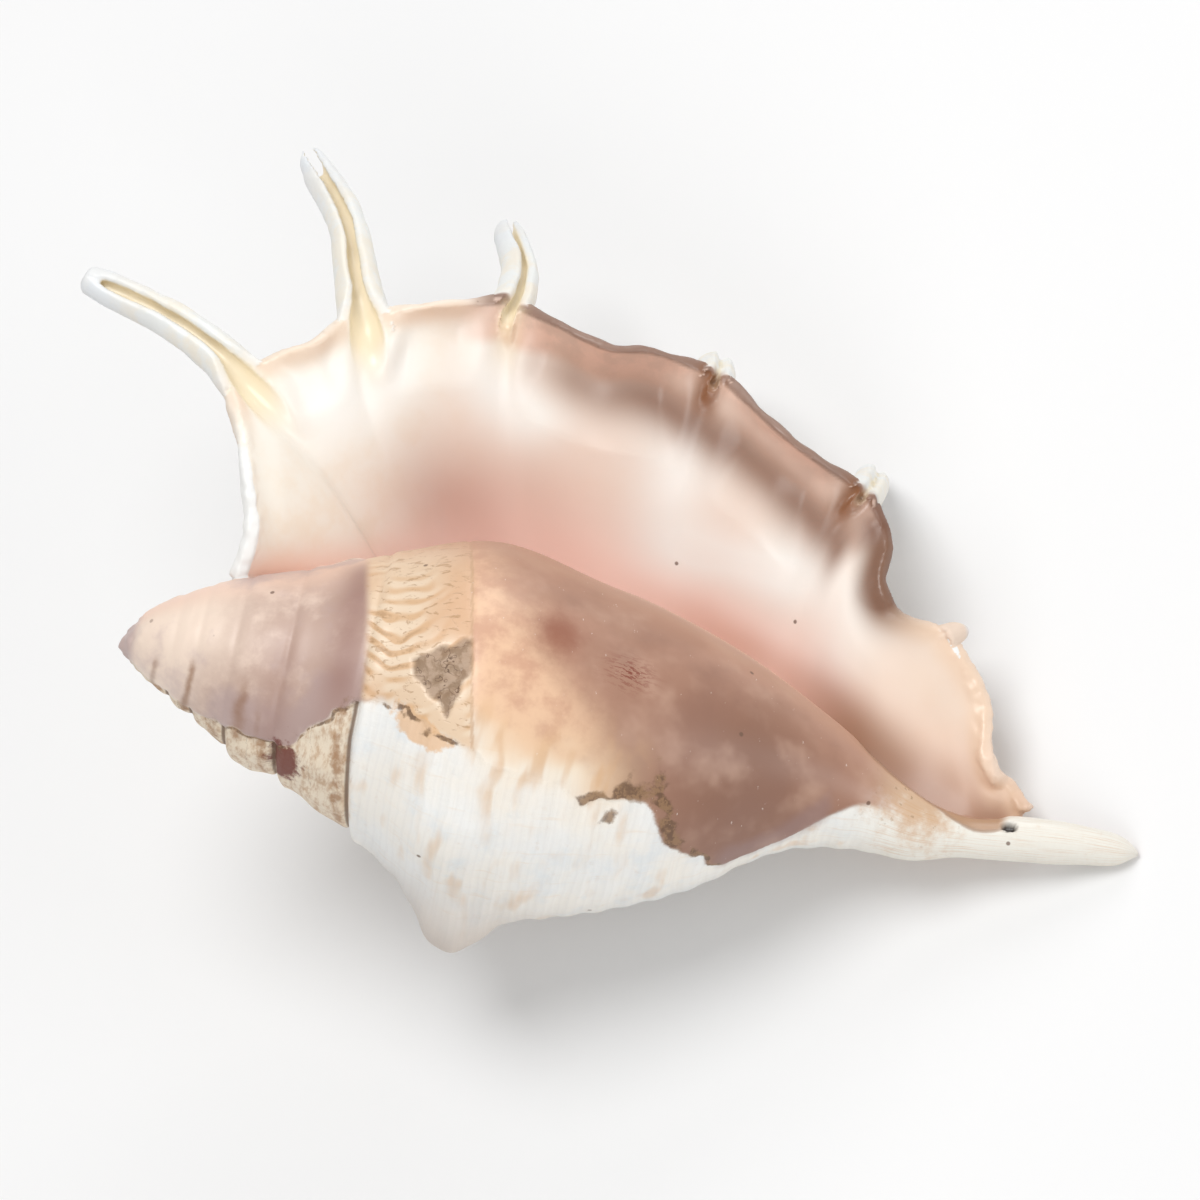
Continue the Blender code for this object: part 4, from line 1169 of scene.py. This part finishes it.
    # Sparse dark specks.
    cells = n.tree.nodes.new("ShaderNodeTexVoronoi")
    n.feed(cells.inputs["Vector"], grown)
    cells.inputs["Scale"].default_value = .13
    pick = n.tree.nodes.new("ShaderNodeSeparateColor")
    n.feed(pick.inputs[0], cells.outputs["Color"])
    specks = both(n.step(cells.outputs["Distance"], .06, .035), n.step(pick.outputs[0], .6, .62))
    lay((.14, .07, .04), specks, .8)
    n.feed(shader.inputs["Base Color"], colour)

    # Gloss: porcelain inside, chalk outside.
    rough = n.mix((.32,) * 3, (.62,) * 3, chalk)
    callus = n.math("MAXIMUM", n.field("spire_callus"), n.field("body_callus"))
    for value, mask in ((.40, callus), (.40, both("digit", chalk)), (.75, n.field("patch"))):
        rough = n.mix(rough, (value,) * 3, mask)
    rough = n.math("MULTIPLY_ADD", grain, .10, n.math("SUBTRACT", rough, .05))
    n.feed(shader.inputs["Roughness"], rough)
    shader.inputs["IOR"].default_value = 1.55

    # Fine relief.
    fine = both(both(chalk, .22), threads)
    fine = n.math("MULTIPLY_ADD", both(spiral, chalk), .8, fine)
    fine = n.math("MULTIPLY_ADD", both(growth, chalk), .9, fine)
    fine = n.math("MULTIPLY_ADD", both(grain, chalk), .7, fine)
    fine = n.math("MULTIPLY_ADD", both("band", dashes), -.4, fine)
    fine = n.math("MULTIPLY_ADD", both("patch", grain), 1.6, fine)
    fine = n.math("MULTIPLY_ADD", soft, .3, fine)
    bump = n.tree.nodes.new("ShaderNodeBump")
    bump.inputs["Strength"].default_value = .5
    bump.inputs["Distance"].default_value = .16 * MM
    n.feed(bump.inputs["Height"], fine)
    n.feed(shader.inputs["Normal"], bump.outputs["Normal"])
    return material


# ---- Studio ------------------------------------------------------------------------------------
FLOOR_SIZE = 8
FLOOR_GAP = .0002
# Each light, seen from the camera's aim: how far right, up and towards the camera it hangs, its
# width and its power.
LIGHTS = {
    "key": (-.35, .55, .75, .60, 5.3),
    "front": (-.12, -.50, .86, .60, 2.3),
    "fill": (.80, .05, .60, .50, 1.8),
    "top": (.1, 1.0, .1, .6, 2.2),
}
WORLD_STRENGTH = .40
# The camera looks across the aperture, tipped about the view: all in the shell's own frame.
VIEW_TILT = 11.67
FRAME_WIDTH = 190.8
AIM_RIGHT, AIM_UP = 76.6, 7.2
CAMERA_AWAY = 1300.0
CLIP_END = 20            # metres


def add_floor():
    bpy.ops.mesh.primitive_plane_add(size=FLOOR_SIZE, location=(0, 0, CAD_BOX[0][2] - FLOOR_GAP))
    floor = bpy.context.object
    floor.name = "floor"
    material = bpy.data.materials.new("pale_floor")
    material.use_nodes = True
    shader = material.node_tree.nodes["Principled BSDF"]
    shader.inputs["Base Color"].default_value = (.86, .86, .86, 1)
    shader.inputs["Roughness"].default_value = .7
    floor.data.materials.append(material)


def add_light(name, place, target, size, watts):
    light = bpy.data.lights.new(name, "AREA")
    light.shape = "DISK"
    light.size = size
    light.energy = watts
    lamp = bpy.data.objects.new(name, light)
    lamp.location = place
    lamp.rotation_euler = (Vector(target) - Vector(place)).to_track_quat("-Z", "Y").to_euler()
    bpy.context.scene.collection.objects.link(lamp)


def add_lights(right, up, back, target):
    """Four soft lights, placed by the camera's own directions at rest."""
    for name, (across, raise_by, out, size, watts) in LIGHTS.items():
        add_light(name, target + right * across + up * raise_by + back * out, target, size, watts)
    world = bpy.data.worlds.new("studio")
    world.use_nodes = True
    background = world.node_tree.nodes["Background"]
    background.inputs["Color"].default_value = (1, 1, 1, 1)
    background.inputs["Strength"].default_value = WORLD_STRENGTH
    bpy.context.scene.world = world


def add_camera(matrix):
    tilt = math.radians(VIEW_TILT)
    upward = Vector((0, SIN_TILT, COS_TILT))
    right = Vector((1, 0, 0)) * math.cos(tilt) + upward * math.sin(tilt)
    up = upward * math.cos(tilt) - Vector((1, 0, 0)) * math.sin(tilt)
    back = right.cross(up)
    aim = right * AIM_RIGHT + up * AIM_UP
    turn = matrix.to_3x3()
    target = matrix @ (aim * MM)
    right, up, back = turn @ right, turn @ up, turn @ back
    data = bpy.data.cameras.new("camera")
    data.lens = data.sensor_width * CAMERA_AWAY / FRAME_WIDTH
    data.clip_end = CLIP_END
    camera = bpy.data.objects.new("camera", data)
    camera.matrix_world = Matrix.Translation(target + back * CAMERA_AWAY * MM) @ Matrix(
        (right, up, back)
    ).transposed().to_4x4()
    bpy.context.scene.collection.objects.link(camera)
    bpy.context.scene.camera = camera
    return right, up, back, target


def main():
    shell, matrix = make_shell()
    shell.data.materials.append(shell_material())
    add_floor()
    add_lights(*add_camera(matrix))
    view = bpy.context.scene.view_settings
    view.view_transform = "Standard"
    view.look = "None"


main()
